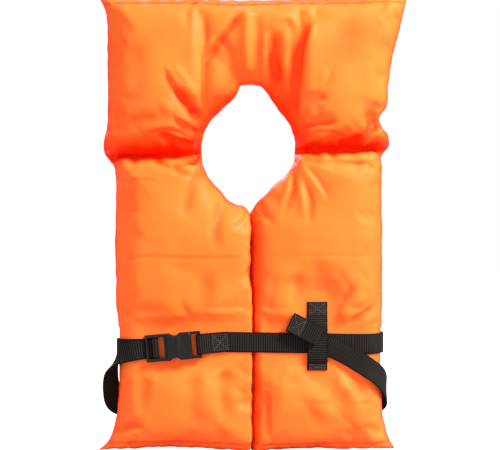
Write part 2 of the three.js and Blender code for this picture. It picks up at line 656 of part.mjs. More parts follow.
/** The rest of the webbing: round the back, through the plug's bars, and on as the loose tail. */
function wrapAndTailGeometry() {
  const left = onBuckle(OUTER_BAR_ALONG - 4, FIRST_LAYER);
  const leftZ = left.z - 4;
  const wrap = [
    new THREE.Vector3(FRONT_RUN_END_X, FRONT_Y - FIRST_LAYER, BELT_RIGHT_Z),
    ...roundSide(1, FIRST_LAYER + 0.6, [BELT_RIGHT_Z, BELT_RIGHT_Z], 7),
    new THREE.Vector3(0, LINING_Y + FIRST_LAYER + 0.6, (BELT_RIGHT_Z + leftZ) / 2),
    ...roundSide(-1, FIRST_LAYER + 0.6, [left.z, leftZ], 7).toReversed(),
    left,
  ];
  const middle = MIDDLE_BAR_RIGHT;
  const turn = [
    left,
    onBuckle(middle - 6, FIRST_LAYER),
    ...aroundBar(middle, MIDDLE_BAR_OUT, TURN_RADIUS, -90, 90, 4),
    ...aroundBar(MIDDLE_BAR_LEFT, MIDDLE_BAR_OUT, TURN_RADIUS, 90, 180, 2),
    onBuckle(MIDDLE_BAR_LEFT - 4.6, UPPER_LAYER + 0.3),
    onBuckle(MIDDLE_BAR_LEFT - 7, UPPER_LAYER),
    onBuckle(OUTER_BAR_ALONG - 4, UPPER_LAYER),
  ];
  const tail = [
    turn[turn.length - 1],
    ...TAIL_LEFT_SIDE.map(([degrees, offset, height]) => besideSide(-1, degrees, offset, left.z + height)),
    besideSide(-1, 162, 4.6, TAIL_BACK_Z),
    new THREE.Vector3(0, LINING_Y + FIRST_LAYER + 0.6, TAIL_BACK_Z - 3),
    ...TAIL_RIGHT_SIDE.map(([degrees, offset, height]) => besideSide(1, degrees, offset, TAIL_BACK_Z + height)),
    new THREE.Vector3(KEEPER_X + 34, FRONT_Y - UPPER_LAYER, BELT_RIGHT_Z - 12),
    new THREE.Vector3(KEEPER_X + 10, FRONT_Y - UPPER_LAYER, BELT_RIGHT_Z - 1),
    new THREE.Vector3(KEEPER_X - 12, FRONT_Y - UPPER_LAYER, BELT_RIGHT_Z + 7),
  ];
  const sections = [
    ...strapSections(wrap, 2, acrossPanels(1)).slice(0, -1),
    ...strapSections(turn, 2, acrossBuckle),
    ...strapSections(tail, 4, acrossPanels(-1)).slice(1),
  ];
  return loft(sections, strapCap);
}

/** The short strap sewn to the right panel above and below the belt, bowed over it. */
function keeperGeometry() {
  const top = KEEPER_TOP_Z;
  const bottom = KEEPER_BOTTOM_Z;
  const crown = THIRD_LAYER + LAYER_GAP;
  const place = (out, z) => new THREE.Vector3(KEEPER_X, FRONT_Y - out, z);
  const route = [
    place(FIRST_LAYER, top),
    place(FIRST_LAYER + 0.1, top - KEEPER_UPPER_SEAM + 4),
    place(FIRST_LAYER + 1.5, top - KEEPER_UPPER_SEAM - 2),
    place(crown, top - KEEPER_UPPER_SEAM - 10),
    place(crown, bottom + KEEPER_LOWER_SEAM + 6),
    place(FIRST_LAYER + 1.8, bottom + KEEPER_LOWER_SEAM + 1.5),
    place(FIRST_LAYER + 0.1, bottom + KEEPER_LOWER_SEAM - 1),
    place(FIRST_LAYER, bottom),
  ];
  return loft(strapSections(route, 2, () => new THREE.Vector3(1, 0, 0)), strapCap);
}

/** The tail's hemmed end, folded back over the keeper, in its own flat frame. */
function tailEndGeometry() {
  const half = TAIL_END_LENGTH / 2;
  const place = (along, out) => new THREE.Vector3(along, -out, 0);
  const route = [
    place(-half, -TAIL_END_LEAF),
    place(half - 3, -TAIL_END_LEAF),
    place(half - 0.6, -TAIL_END_LEAF * 0.7),
    place(half, 0),
    place(half - 0.6, TAIL_END_LEAF * 0.7),
    place(half - 3, TAIL_END_LEAF),
    place(-half, TAIL_END_LEAF),
  ];
  return loft(strapSections(route, 2, () => new THREE.Vector3(0, 0, 1)), strapCap);
}

// ---------------------------------------------------------------- assembly

function addBuckle(group) {
  const buckle = new THREE.Group();
  buckle.position.set(BUCKLE_X, FRONT_Y, BUCKLE_Z);
  buckle.rotation.y = -BUCKLE_TILT;
  add(buckle, 'buckle_socket', socketGeometry(), PLASTIC_BLACK);
  add(buckle, 'buckle_plug', plugGeometry(), PLASTIC_BLACK);
  add(buckle, 'latch_arm_upper', latchGeometry(1), PLASTIC_BLACK);
  add(buckle, 'latch_arm_lower', latchGeometry(-1), PLASTIC_BLACK);
  const box = stitchBox(DOUBLED_STITCH_LENGTH, STITCH_HEIGHT, THREAD_THICKNESS);
  const stitches = add(buckle, 'socket_end_stitching', box, THREAD_BLACK);
  const along = DOUBLED_END - 2 - DOUBLED_STITCH_LENGTH / 2;
  stitches.position.set(along, -UPPER_LAYER - WEB_THICKNESS / 2 - STITCH_GAP, 0);
  group.add(buckle);
}

function addBelt(group) {
  add(group, 'belt_socket_end', socketEndGeometry(), WEB_BLACK);
  add(group, 'belt_front_run', frontRunGeometry(), WEB_BLACK);
  add(group, 'belt_wrap_and_tail', wrapAndTailGeometry(), WEB_BLACK);
}

function addKeeper(group) {
  add(group, 'belt_keeper', keeperGeometry(), WEB_BLACK);
  const skin = FRONT_Y - FIRST_LAYER - WEB_THICKNESS / 2 - STITCH_GAP;
  const upperHeight = KEEPER_UPPER_SEAM - 7;
  const lowerHeight = KEEPER_LOWER_SEAM - 3;
  const upperBox = stitchBox(STITCH_HEIGHT, upperHeight, THREAD_THICKNESS);
  const upper = add(group, 'keeper_stitching_upper', upperBox, THREAD_BLACK);
  upper.position.set(KEEPER_X, skin, KEEPER_TOP_Z - 2 - upperHeight / 2);
  const lowerBox = stitchBox(STITCH_HEIGHT, lowerHeight, THREAD_THICKNESS);
  const lower = add(group, 'keeper_stitching_lower', lowerBox, THREAD_BLACK);
  lower.position.set(KEEPER_X, skin, KEEPER_BOTTOM_Z + 1 + lowerHeight / 2);
}

function addTailEnd(group) {
  const end = new THREE.Group();
  end.position.set(TAIL_END_X, FRONT_Y - THIRD_LAYER - TAIL_END_LIFT, TAIL_END_Z);
  end.rotation.y = TAIL_END_TILT;
  add(end, 'belt_tail_end', tailEndGeometry(), WEB_BLACK);
  const box = stitchBox(0.4 * TAIL_END_LENGTH, STITCH_HEIGHT, THREAD_THICKNESS);
  const stitches = add(end, 'tail_end_stitching', box, THREAD_BLACK);
  stitches.position.set(-TAIL_END_LENGTH / 4, -TAIL_END_LEAF - WEB_THICKNESS / 2 - STITCH_GAP, 0);
  group.add(end);
}

const lifeJacket = new THREE.Group();
const panel = rightPanelOutline();
addPad(lifeJacket, 'collar', collarOutline());
addPad(lifeJacket, 'right_panel', panel);
addPad(lifeJacket, 'left_panel', mirrored(panel));
addBelt(lifeJacket);
addKeeper(lifeJacket);
addTailEnd(lifeJacket);
addBuckle(lifeJacket);

export default lifeJacket;
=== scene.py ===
"""A keyhole life jacket: padded covers, foam boards, belt, stitching and buckle, dressed round its frame.

Lengths in the sizes below are in millimetres, in the plan of the jacket laid flat: x to the right and z up,
with y out of the lining at the back. MM turns them into metres where a mesh is made.
"""

import json
import logging
import math
from collections.abc import Callable, Iterator, Sequence
from contextlib import contextmanager
from dataclasses import dataclass, field
from enum import Enum

import bmesh
import bpy
import numpy as np
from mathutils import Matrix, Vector
from mathutils.bvhtree import BVHTree
from mathutils.geometry import delaunay_2d_cdt


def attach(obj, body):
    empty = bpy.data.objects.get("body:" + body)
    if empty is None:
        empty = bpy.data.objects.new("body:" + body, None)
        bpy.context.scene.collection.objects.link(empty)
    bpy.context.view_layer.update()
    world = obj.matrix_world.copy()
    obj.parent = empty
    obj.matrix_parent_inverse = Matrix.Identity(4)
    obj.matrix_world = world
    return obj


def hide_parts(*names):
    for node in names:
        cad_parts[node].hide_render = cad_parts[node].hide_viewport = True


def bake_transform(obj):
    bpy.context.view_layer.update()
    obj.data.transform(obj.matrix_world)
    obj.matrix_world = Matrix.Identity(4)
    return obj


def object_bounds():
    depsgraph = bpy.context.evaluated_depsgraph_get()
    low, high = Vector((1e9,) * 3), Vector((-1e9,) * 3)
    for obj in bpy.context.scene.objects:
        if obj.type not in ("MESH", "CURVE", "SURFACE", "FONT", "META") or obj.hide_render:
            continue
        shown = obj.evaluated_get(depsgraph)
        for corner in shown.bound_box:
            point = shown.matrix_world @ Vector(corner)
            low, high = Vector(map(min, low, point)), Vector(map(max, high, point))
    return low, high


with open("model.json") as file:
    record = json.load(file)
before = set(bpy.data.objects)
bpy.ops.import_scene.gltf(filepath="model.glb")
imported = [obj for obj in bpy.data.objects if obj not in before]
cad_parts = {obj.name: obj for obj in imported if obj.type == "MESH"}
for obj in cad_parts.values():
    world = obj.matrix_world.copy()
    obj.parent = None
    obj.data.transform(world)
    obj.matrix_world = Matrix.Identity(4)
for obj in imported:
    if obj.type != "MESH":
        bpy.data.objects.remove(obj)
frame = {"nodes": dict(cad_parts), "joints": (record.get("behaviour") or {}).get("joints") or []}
CAD_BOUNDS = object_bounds()

LOG = logging.getLogger("life_jacket")
MM = 0.001
Plan = tuple[float, float]


# ---------------------------------------------------------------- paths and numbers


def smoothstep(values: np.ndarray, low: float, high: float) -> np.ndarray:
    """Rise smoothly from 0 at low to 1 at high."""
    t = np.clip((values - low) / (high - low), 0, 1)
    return t * t * (3 - 2 * t)


def rounded(share: np.ndarray) -> np.ndarray:
    """The height of a quarter circle, from 0 at its edge to 1 past its radius."""
    t = np.clip(share, 0, 1)
    return np.sqrt(np.maximum(0, 1 - (1 - t) ** 2))


def smooth_route(points: Sequence[Sequence[float]], per_span: int) -> np.ndarray:
    """Pass a centripetal Catmull-Rom curve through points.

    Args:
        points: places in two or three dimensions.
        per_span: samples between two neighbouring places.

    Returns:
        The sampled curve, one row for each sample.
    """
    p = np.asarray(points, float)
    p = np.vstack([2 * p[0] - p[1], p, 2 * p[-1] - p[-2]])
    t = np.linspace(0, 1, per_span, endpoint=False)[:, None]
    rows = []
    for a, b, c, d in zip(p, p[1:], p[2:], p[3:]):
        gaps = [max(1e-6, np.linalg.norm(v)) ** 0.5 for v in (b - a, c - b, d - c)]
        m1 = ((b - a) / gaps[0] - (c - a) / (gaps[0] + gaps[1]) + (c - b) / gaps[1]) * gaps[1]
        m2 = ((c - b) / gaps[1] - (d - b) / (gaps[1] + gaps[2]) + (d - c) / gaps[2]) * gaps[1]
        rows.append(b + m1 * t + (3 * (c - b) - 2 * m1 - m2) * t**2 + (2 * (b - c) + m1 + m2) * t**3)
    return np.vstack([*rows, p[-2][None]])


def unit(rows: np.ndarray) -> np.ndarray:
    """Each row at a length of one."""
    return rows / np.linalg.norm(rows, axis=1)[:, None]


def arc_lengths(path: np.ndarray) -> np.ndarray:
    """Distance along a path at each of its points."""
    return np.concatenate([[0], np.cumsum(np.linalg.norm(np.diff(path, axis=0), axis=1))])


def even_steps(path: np.ndarray, step: float) -> np.ndarray:
    """Resample a path at equal steps, keeping both ends.

    Args:
        path: the path's places, one row each.
        step: about how far apart the new places are.

    Returns:
        The new places, one row each.
    """
    s = arc_lengths(path)
    wanted = np.linspace(0, s[-1], max(2, int(round(s[-1] / step)) + 1))
    return np.stack([np.interp(wanted, s, path[:, k]) for k in range(path.shape[1])], axis=1)


def to_path(points: np.ndarray, path: np.ndarray) -> tuple[np.ndarray, np.ndarray, np.ndarray]:
    """Measure places in the plan against a path.

    Args:
        points: places, one row each.
        path: the path's places, one row each.

    Returns:
        The distance to the path, the signed distance, positive on its left, and the share along it.
    """
    best = np.full(len(points), np.inf)
    signed = np.zeros(len(points))
    share = np.zeros(len(points))
    s = arc_lengths(path)
    for k, (a, b) in enumerate(zip(path, path[1:])):
        run = b - a
        length = max(1e-9, float(np.hypot(*run)))
        t = np.clip(((points - a) @ run) / length**2, 0, 1)
        off = points - (a + t[:, None] * run)
        distance = np.hypot(off[:, 0], off[:, 1])
        nearer = distance < best
        best = np.where(nearer, distance, best)
        side = np.where(run[0] * off[:, 1] - run[1] * off[:, 0] >= 0, 1.0, -1.0)
        signed = np.where(nearer, side * distance, signed)
        share = np.where(nearer, (s[k] + t * length) / s[-1], share)
    return best, signed, share


def ripples(points: np.ndarray, wavelength: float, seed: int, waves: int = 9) -> np.ndarray:
    """Soft random unevenness, about -1 to 1, made of a few seeded waves in any direction.

    Args:
        points: where it is wanted, one row each.
        wavelength: about how long its waves are.
        seed: the seed of its random draws.
        waves: how many waves are added up.

    Returns:
        The unevenness at each place.
    """
    chance = np.random.default_rng(seed)
    total = np.zeros(len(points))
    for _ in range(waves):
        heading = chance.normal(size=points.shape[1])
        heading *= 2 * math.pi / (wavelength * chance.uniform(0.7, 1.5) * np.linalg.norm(heading))
        total += np.sin(points @ heading + chance.uniform(0, 2 * math.pi))
    return total / math.sqrt(waves)


# ---------------------------------------------------------------- meshes and node trees


def new_object(name: str, mesh: bpy.types.Mesh) -> bpy.types.Object:
    """Link a mesh into the scene as an object at the origin.

    Args:
        name: the object's name.
        mesh: its mesh.

    Returns:
        The new object.
    """
    piece = bpy.data.objects.new(name, mesh)
    bpy.context.scene.collection.objects.link(piece)
    return piece


def mesh_piece(name: str, places: np.ndarray, faces: list, edges: list | None = None) -> bpy.types.Object:
    """Make an object from places in metres and faces.

    Args:
        name: the object's name.
        places: its vertices, one row each.
        faces: each face's vertices.
        edges: loose edges, if it has any.

    Returns:
        The new object.
    """
    mesh = bpy.data.meshes.new(name)
    mesh.from_pydata([tuple(p) for p in places], edges or [], faces)
    mesh.update()
    return new_object(name, mesh)


def shade_smooth(piece: bpy.types.Object) -> None:
    """Shade every face of a piece smoothly."""
    piece.data.polygons.foreach_set("use_smooth", [True] * len(piece.data.polygons))
    piece.data.update()


def rows_of(items: Sequence, name: str) -> np.ndarray:
    """Read a field of three numbers from every item.

    Args:
        items: one of a mesh's collections, such as its vertices.
        name: the field's name.

    Returns:
        One row for each item.
    """
    flat = np.zeros(len(items) * 3, np.float32)
    items.foreach_get(name, flat)
    return flat.reshape(-1, 3).astype(float)


def move_vertices(mesh: bpy.types.Mesh, places: np.ndarray) -> None:
    """Put a mesh's vertices at new places."""
    mesh.vertices.foreach_set("co", places.astype(np.float32).ravel())
    mesh.update()


def point_attribute(mesh: bpy.types.Mesh, name: str, values: np.ndarray) -> None:
    """Store one number for each vertex."""
    attribute = mesh.attributes.get(name) or mesh.attributes.new(name, "FLOAT", "POINT")
    attribute.data.foreach_set("value", values.astype(np.float32))


@contextmanager
def reshaping(mesh: bpy.types.Mesh) -> Iterator[bmesh.types.BMesh]:
    """Open a mesh to be reshaped, and write it back afterwards.

    Args:
        mesh: the mesh.

    Yields:
        Its editable form.
    """
    shell = bmesh.new()
    shell.from_mesh(mesh)
    yield shell
    shell.to_mesh(mesh)
    shell.free()


def coat(piece: bpy.types.Object, material: bpy.types.Material) -> None:
    """Give a piece one material all over."""
    piece.data.materials.clear()
    piece.data.materials.append(material)


def settle(piece: bpy.types.Object) -> None:
    """Turn a piece and its modifiers into one plain mesh.

    Args:
        piece: the object; its mesh is replaced.
    """
    graph = bpy.context.evaluated_depsgraph_get()
    mesh = bpy.data.meshes.new_from_object(
        piece.evaluated_get(graph), preserve_all_data_layers=True, depsgraph=graph
    )
    piece.modifiers.clear()
    piece.data = mesh


def round_edges(piece: bpy.types.Object, width: float, segments: int, turn: float, harden: bool) -> None:
    """Round a piece's edges off and settle it.

    Args:
        piece: the object.
        width: how broad the rounding is, in millimetres.
        segments: faces across the rounding.
        turn: the least turn, in degrees, that counts as an edge.
        harden: whether the flat faces keep their flat shading.
    """
    rim = piece.modifiers.new("Rim", "BEVEL")
    rim.width = width * MM
    rim.segments = segments
    rim.limit_method = "ANGLE"
    rim.angle_limit = math.radians(turn)
    rim.harden_normals = harden
    settle(piece)


def give_modifier(piece: bpy.types.Object, tree: bpy.types.NodeTree, values: dict) -> None:
    """Put a node tree on a piece, setting its named inputs, and settle the result.

    Args:
        piece: the object that the tree works on.
        tree: a geometry node tree.
        values: the value of each input, by the input's name.
    """
    modifier = piece.modifiers.new(tree.name, "NODES")
    modifier.node_group = tree
    for item in tree.interface.items_tree:
        if item.item_type == "SOCKET" and item.in_out == "INPUT" and item.name in values:
            modifier[item.identifier] = values[item.name]
    settle(piece)


@dataclass
class Wiring:
    """Adds and joins nodes in one tree, so that a tree reads as a list of steps."""

    tree: bpy.types.NodeTree

    def add(self, kind: str, inputs: dict | None = None, **settings: object) -> bpy.types.Node:
        """Add a node.

        Args:
            kind: the node's type name.
            inputs: what each input, by name or number, takes: a value or another node's output.
            settings: the node's own properties.

        Returns:
            The new node.
        """
        node = self.tree.nodes.new(kind)
        for key, value in settings.items():
            setattr(node, key, value)
        for key, value in (inputs or {}).items():
            if isinstance(value, bpy.types.NodeSocket):
                self.tree.links.new(value, node.inputs[key])
            else:
                node.inputs[key].default_value = value
        return node

    def maths(self, operation: str, first: object, second: object = 0.0) -> bpy.types.NodeSocket:
        """One step of arithmetic; each operand is a number or an output."""
        return self.add("ShaderNodeMath", {0: first, 1: second}, operation=operation).outputs[0]


def new_tree(name: str, kind: str, sockets: Sequence[tuple[str, str, str]]) -> tuple:
    """Start a node group.

    Args:
        name: the group's name.
        kind: GeometryNodeTree or ShaderNodeTree.
        sockets: each socket's name, INPUT or OUTPUT, and its type's short name.

    Returns:
        The tree's wiring, its input node and its output node.
    """
    tree = bpy.data.node_groups.new(name, kind)
    for title, way, short in sockets:
        tree.interface.new_socket(title, in_out=way, socket_type=f"NodeSocket{short}")
    wiring = Wiring(tree)
    return wiring, wiring.add("NodeGroupInput"), wiring.add("NodeGroupOutput")


RIB_LEVEL = 0.6


def ribs_tree() -> bpy.types.NodeTree:
    """The raised cross ribs of narrow webbing, from the length stored along it.

    Returns:
        The finished tree.
    """
    w, source, result = new_tree("Webbing Ribs", "GeometryNodeTree", (
        ("Geometry", "INPUT", "Geometry"),
        ("Rib Pitch", "INPUT", "Float"),
        ("Rib Height", "INPUT", "Float"),
        ("Material", "INPUT", "Material"),
        ("Geometry", "OUTPUT", "Geometry"),
    ))
    along = w.add("GeometryNodeInputNamedAttribute", {"Name": "along"}, data_type="FLOAT").outputs[0]
    face = w.add("GeometryNodeInputNamedAttribute", {"Name": "face_share"}, data_type="FLOAT").outputs[0]
    turns = w.maths("MULTIPLY", w.maths("DIVIDE", along, source.outputs["Rib Pitch"]), math.pi)
    crest = w.maths("SUBTRACT", w.maths("ABSOLUTE", w.maths("SINE", turns)), RIB_LEVEL)
    rise = w.maths("MULTIPLY", w.maths("MULTIPLY", crest, source.outputs["Rib Height"]), face)
    normal = w.add("GeometryNodeInputNormal").outputs[0]
    offset = w.add("ShaderNodeVectorMath", {0: normal, "Scale": rise}, operation="SCALE").outputs[0]
    # The rib's height is stored as rib, for the painted shade between the ribs.
    kept = w.add("GeometryNodeStoreNamedAttribute", {
        "Geometry": source.outputs["Geometry"],
        "Name": "rib",
        "Value": w.maths("MULTIPLY", w.maths("ADD", crest, RIB_LEVEL), face),
    }, data_type="FLOAT", domain="POINT")
    moved = w.add("GeometryNodeSetPosition", {"Geometry": kept.outputs[0], "Offset": offset})
    real = w.add("GeometryNodeRealizeInstances", {0: moved.outputs[0]})
    dressed = w.add("GeometryNodeSetMaterial", {0: real.outputs[0], "Material": source.outputs["Material"]})
    w.tree.links.new(dressed.outputs[0], result.inputs[0])
    return w.tree


def stitches_tree() -> bpy.types.NodeTree:
    """Short rounded stitches, laid one after another along the lines of a mesh.

    Returns:
        The finished tree.
    """
    w, source, result = new_tree("Stitches", "GeometryNodeTree", (
        ("Geometry", "INPUT", "Geometry"),
        ("Stitch Pitch", "INPUT", "Float"),
        ("Stitch Length", "INPUT", "Float"),
        ("Thread Thickness", "INPUT", "Float"),
        ("Material", "INPUT", "Material"),
        ("Geometry", "OUTPUT", "Geometry"),
    ))
    curve = w.add("GeometryNodeMeshToCurve", {0: source.outputs["Geometry"]}).outputs[0]
    pitch = source.outputs["Stitch Pitch"]
    spots = w.add("GeometryNodeCurveToPoints", {"Curve": curve, "Length": pitch}, mode="LENGTH")
    turn = w.add("FunctionNodeAlignRotationToVector", {"Vector": spots.outputs["Tangent"]}, axis="Z")
    ball = w.add("GeometryNodeMeshUVSphere", {"Segments": 6, "Rings": 4, "Radius": 0.5}).outputs[0]
    thick = source.outputs["Thread Thickness"]
    size = w.add("ShaderNodeCombineXYZ", {0: thick, 1: thick, 2: source.outputs["Stitch Length"]}).outputs[0]
    laid = w.add("GeometryNodeInstanceOnPoints", {
        "Points": spots.outputs["Points"],
        "Instance": ball,
        "Rotation": turn.outputs[0],
        "Scale": size,
    })
    real = w.add("GeometryNodeRealizeInstances", {0: laid.outputs[0]})
    smooth = w.add("GeometryNodeSetShadeSmooth", {0: real.outputs[0]})
    stuff = source.outputs["Material"]
    dressed = w.add("GeometryNodeSetMaterial", {0: smooth.outputs[0], "Material": stuff})
    w.tree.links.new(dressed.outputs[0], result.inputs[0])
    return w.tree


# ---------------------------------------------------------------- finishes


def weave_group() -> bpy.types.NodeTree:
    """A plain weave: its height, and a mask of the gaps between the threads.

    Returns:
        The finished tree.
    """
    w, source, result = new_tree("Plain Weave", "ShaderNodeTree", (
        ("Vector", "INPUT", "Vector"),
        ("Threads", "INPUT", "Float"),
        ("Height", "OUTPUT", "Float"),
        ("Gaps", "OUTPUT", "Float"),
    ))
    parts = w.add("ShaderNodeSeparateXYZ", {0: source.outputs["Vector"]})
    count = w.maths("MULTIPLY", source.outputs["Threads"], math.pi)
    warp = w.maths("SINE", w.maths("MULTIPLY", parts.outputs[0], count))
    weft = w.maths("SINE", w.maths("MULTIPLY", parts.outputs[1], count))
    crossing = w.maths("MULTIPLY", warp, weft)
    height = w.maths("ADD", w.maths("MULTIPLY", crossing, 0.5), 0.5)
    thin = w.maths("MULTIPLY", w.maths("ABSOLUTE", warp), w.maths("ABSOLUTE", weft))
    w.tree.links.new(height, result.inputs["Height"])
    w.tree.links.new(w.maths("SUBTRACT", 1.0, thin), result.inputs["Gaps"])
    return w.tree


def mottle_group() -> bpy.types.NodeTree:
    """Cloudy unevenness at two scales, for colour and for gloss.

    Returns:
        The finished tree.
    """
    w, source, result = new_tree("Mottle", "ShaderNodeTree", (
        ("Vector", "INPUT", "Vector"),
        ("Patch Scale", "INPUT", "Float"),
        ("Grain Scale", "INPUT", "Float"),
        ("Patches", "OUTPUT", "Float"),
        ("Grain", "OUTPUT", "Float"),
    ))
    for title, scale, detail in (("Patches", "Patch Scale", 3.0), ("Grain", "Grain Scale", 6.0)):
        noise = w.add("ShaderNodeTexNoise", {
            "Vector": source.outputs["Vector"],
            "Scale": source.outputs[scale],
            "Detail": detail,
        })
        w.tree.links.new(noise.outputs[0], result.inputs[title])
    return w.tree


@dataclass(frozen=True)
class Finish:
    """What every finish shares: its name, its colours and how its gloss varies."""

    name: str
    slot: str
    light: tuple[float, float, float]
    dark: tuple[float, float, float]
    roughness: tuple[float, float]
    patch_scale: float = 14.0
    grain_scale: float = 900.0
    bump: float = 0.1
    bump_depth: float = 0.0002
    shine: float = 0.2

    def start(self) -> tuple[Wiring, bpy.types.Node, bpy.types.Node]:
        """Make the material with its shader, its mottle and its object coordinates.

        Returns:
            The wiring, the shader and the mottle.
        """
        material = bpy.data.materials.new(self.name)
        material.use_nodes = True
        w = Wiring(material.node_tree)
        shader = material.node_tree.nodes["Principled BSDF"]
        coordinates = w.add("ShaderNodeTexCoord").outputs["Object"]
        mottle = w.add("ShaderNodeGroup", node_tree=GROUPS["mottle"])
        w.tree.links.new(coordinates, mottle.inputs["Vector"])
        mottle.inputs["Patch Scale"].default_value = self.patch_scale
        mottle.inputs["Grain Scale"].default_value = self.grain_scale
        gloss = w.add("ShaderNodeMapRange", {
            "Value": mottle.outputs["Patches"],
            "From Min": 0.3,
            "From Max": 0.7,
            "To Min": self.roughness[0],
            "To Max": self.roughness[1],
        })
        w.tree.links.new(gloss.outputs[0], shader.inputs["Roughness"])
        shader.inputs["Specular IOR Level"].default_value = self.shine
        return w, shader, mottle

    def colour(self, w: Wiring, shader: bpy.types.Node, share: bpy.types.NodeSocket) -> None:
        """Mix the finish's two colours by a share and feed the shader's base colour.

        Args:
            w: the material's wiring.
            shader: its shader.
            share: how much of the darker colour.
        """
        mix = w.add("ShaderNodeMix", {0: share}, data_type="RGBA")
        mix.inputs[6].default_value = (*self.light, 1)
        mix.inputs[7].default_value = (*self.dark, 1)
        w.tree.links.new(mix.outputs[2], shader.inputs["Base Color"])

    def relief(self, w: Wiring, shader: bpy.types.Node, height: bpy.types.NodeSocket) -> None:
        """Feed a height into the shader's normal.

        Args:
            w: the material's wiring.
            shader: its shader.
            height: the height.
        """
        bump = w.add("ShaderNodeBump", {
            "Strength": self.bump,
            "Distance": self.bump_depth,
            "Height": height,
        })
        w.tree.links.new(bump.outputs[0], shader.inputs["Normal"])

    def material(self) -> bpy.types.Material:
        """The finished material of a plain, finely grained stuff.

        Returns:
            The material.
        """
        w, shader, mottle = self.start()
        self.colour(w, shader, mottle.outputs["Patches"])
        self.relief(w, shader, mottle.outputs["Grain"])
        return bpy.data.materials[self.name]


@dataclass(frozen=True)
class CoatedNylon(Finish):
    """Orange nylon with a soft satin coating, with painted shade, deeper and redder, where it folds in and
    where it turns away from the camera.
    """

    threads: float = 2200.0
    clouds: float = 0.4
    rim_shade_depth: float = 0.7
    weave_share: float = 0.4

    def material(self) -> bpy.types.Material:
        """The coated nylon, with its weave, its cloudy gloss and its painted shade.

        Returns:
            The material.
        """
        w, shader, mottle = self.start()
        place = w.add("ShaderNodeSeparateXYZ", {0: w.add("ShaderNodeTexCoord").outputs["Object"]})
        across = w.add("ShaderNodeCombineXYZ", {0: place.outputs[0], 1: place.outputs[2]}).outputs[0]
        weave = w.add("ShaderNodeGroup", node_tree=GROUPS["weave"])
        w.tree.links.new(across, weave.inputs["Vector"])
        weave.inputs["Threads"].default_value = self.threads
        # fold_shade is the painted shade stored on the cover: deeper, redder colour in its hollows and
        # folds.
        fold = w.add("ShaderNodeAttribute", attribute_name="fold_shade").outputs["Fac"]
        cloudy = w.maths("MULTIPLY", w.maths("SUBTRACT", mottle.outputs["Patches"], 0.4), self.clouds)
        # Painted shade at the rims: deeper colour where the surface turns away from the camera.
        turned = w.maths("POWER", w.add("ShaderNodeLayerWeight", {"Blend": 0.5}).outputs["Facing"], 3.0)
        turned = w.maths("MULTIPLY", turned, self.rim_shade_depth)
        self.colour(w, shader, w.maths("ADD", w.maths("ADD", fold, cloudy), turned))
        threads = w.maths("MULTIPLY", weave.outputs["Height"], self.weave_share)
        height = w.maths("ADD", threads, mottle.outputs["Grain"])
        self.relief(w, shader, height)
        return bpy.data.materials[self.name]


@dataclass(frozen=True)
class Webbing(Finish):
    """Black polyester webbing, with its threads along and across, painted shade sunk between its ribs and
    patchy painted shade in the gaps between its threads.
    """

    threads: float = 1900.0
    gap_shade_depth: float = 0.3
    rib_shade_depth: float = 1.35
    grain_share: float = 0.7

    def material(self) -> bpy.types.Material:
        """The webbing, patterned along its own length.

        Returns:
            The material.
        """
        w, shader, mottle = self.start()
        weave = w.add("ShaderNodeGroup", node_tree=GROUPS["weave"])
        w.tree.links.new(w.add("ShaderNodeUVMap", uv_map="UVMap").outputs[0], weave.inputs["Vector"])
        weave.inputs["Threads"].default_value = self.threads
        # Patchy painted shade: deeper colour in the gaps between the threads, where the cloudy patches lie.
        gap_shade = w.maths("MULTIPLY", mottle.outputs["Patches"], weave.outputs["Gaps"])
        rib = w.add("ShaderNodeAttribute", attribute_name="rib").outputs["Fac"]
        # Painted shade: deeper colour where the ribs sink, from the stored rib height.
        rib_shade = w.maths("MULTIPLY", w.maths("SUBTRACT", 1.0, rib), self.rib_shade_depth)
        self.colour(w, shader, w.maths("ADD", w.maths("MULTIPLY", gap_shade, self.gap_shade_depth), rib_shade))
        grain = w.maths("MULTIPLY", mottle.outputs["Grain"], self.grain_share)
        height = w.maths("ADD", weave.outputs["Height"], grain)
        self.relief(w, shader, height)
        return bpy.data.materials[self.name]


GROUPS = {"weave": weave_group(), "mottle": mottle_group()}
TREES = {"ribs": ribs_tree(), "stitches": stitches_tree()}

# COVER's dark colour is the deep red that its painted shade mixes towards; its cloudy patches use it too.
COVER = CoatedNylon(
    name="orange_coated_nylon", slot="coated_cover", light=(1.0, 0.147, 0.021), dark=(1.0, 0.03, 0.0006),
    roughness=(0.44, 0.56), bump=0.22, bump_depth=0.00025, shine=0.09,
)
FOAM = Finish(
    name="white_foam", slot="foam", light=(0.86, 0.85, 0.8), dark=(0.74, 0.73, 0.66),
    roughness=(0.8, 0.95), grain_scale=500.0, bump=0.5, bump_depth=0.0006,
)
# BELT's dark colour is its painted shade, between its ribs and in the gaps between its threads.
BELT = Webbing(
    name="black_webbing", slot="webbing", light=(0.023, 0.019, 0.016), dark=(0.0005, 0.0004, 0.0003),
    roughness=(0.5, 0.68), patch_scale=60.0, grain_scale=1400.0, bump=0.5, bump_depth=0.0003, shine=0.07,
)
BLACK_THREAD = Finish(
    name="black_thread", slot="thread", light=(0.085, 0.074, 0.066), dark=(0.03, 0.027, 0.024),
    roughness=(0.6, 0.8), grain_scale=4000.0, bump=0.4,
)
ORANGE_THREAD = Finish(
    name="orange_thread", slot="thread", light=(0.95, 0.13, 0.012), dark=(0.8, 0.07, 0.006),
    roughness=(0.5, 0.7), grain_scale=4000.0, bump=0.4,
)
PLASTIC = Finish(
    name="black_acetal", slot="buckle_plastic", light=(0.0032, 0.0028, 0.0025), dark=(0.002, 0.0018, 0.0015),
    roughness=(0.28, 0.38), patch_scale=90.0, grain_scale=2600.0, bump=0.12, bump_depth=0.0001, shine=0.27,
)


# ---------------------------------------------------------------- padded cover


class FoldKind(Enum):
    """How the fabric runs across a fold."""

    VALLEY = "valley"
    RIDGE = "ridge"
    PLEAT = "pleat"


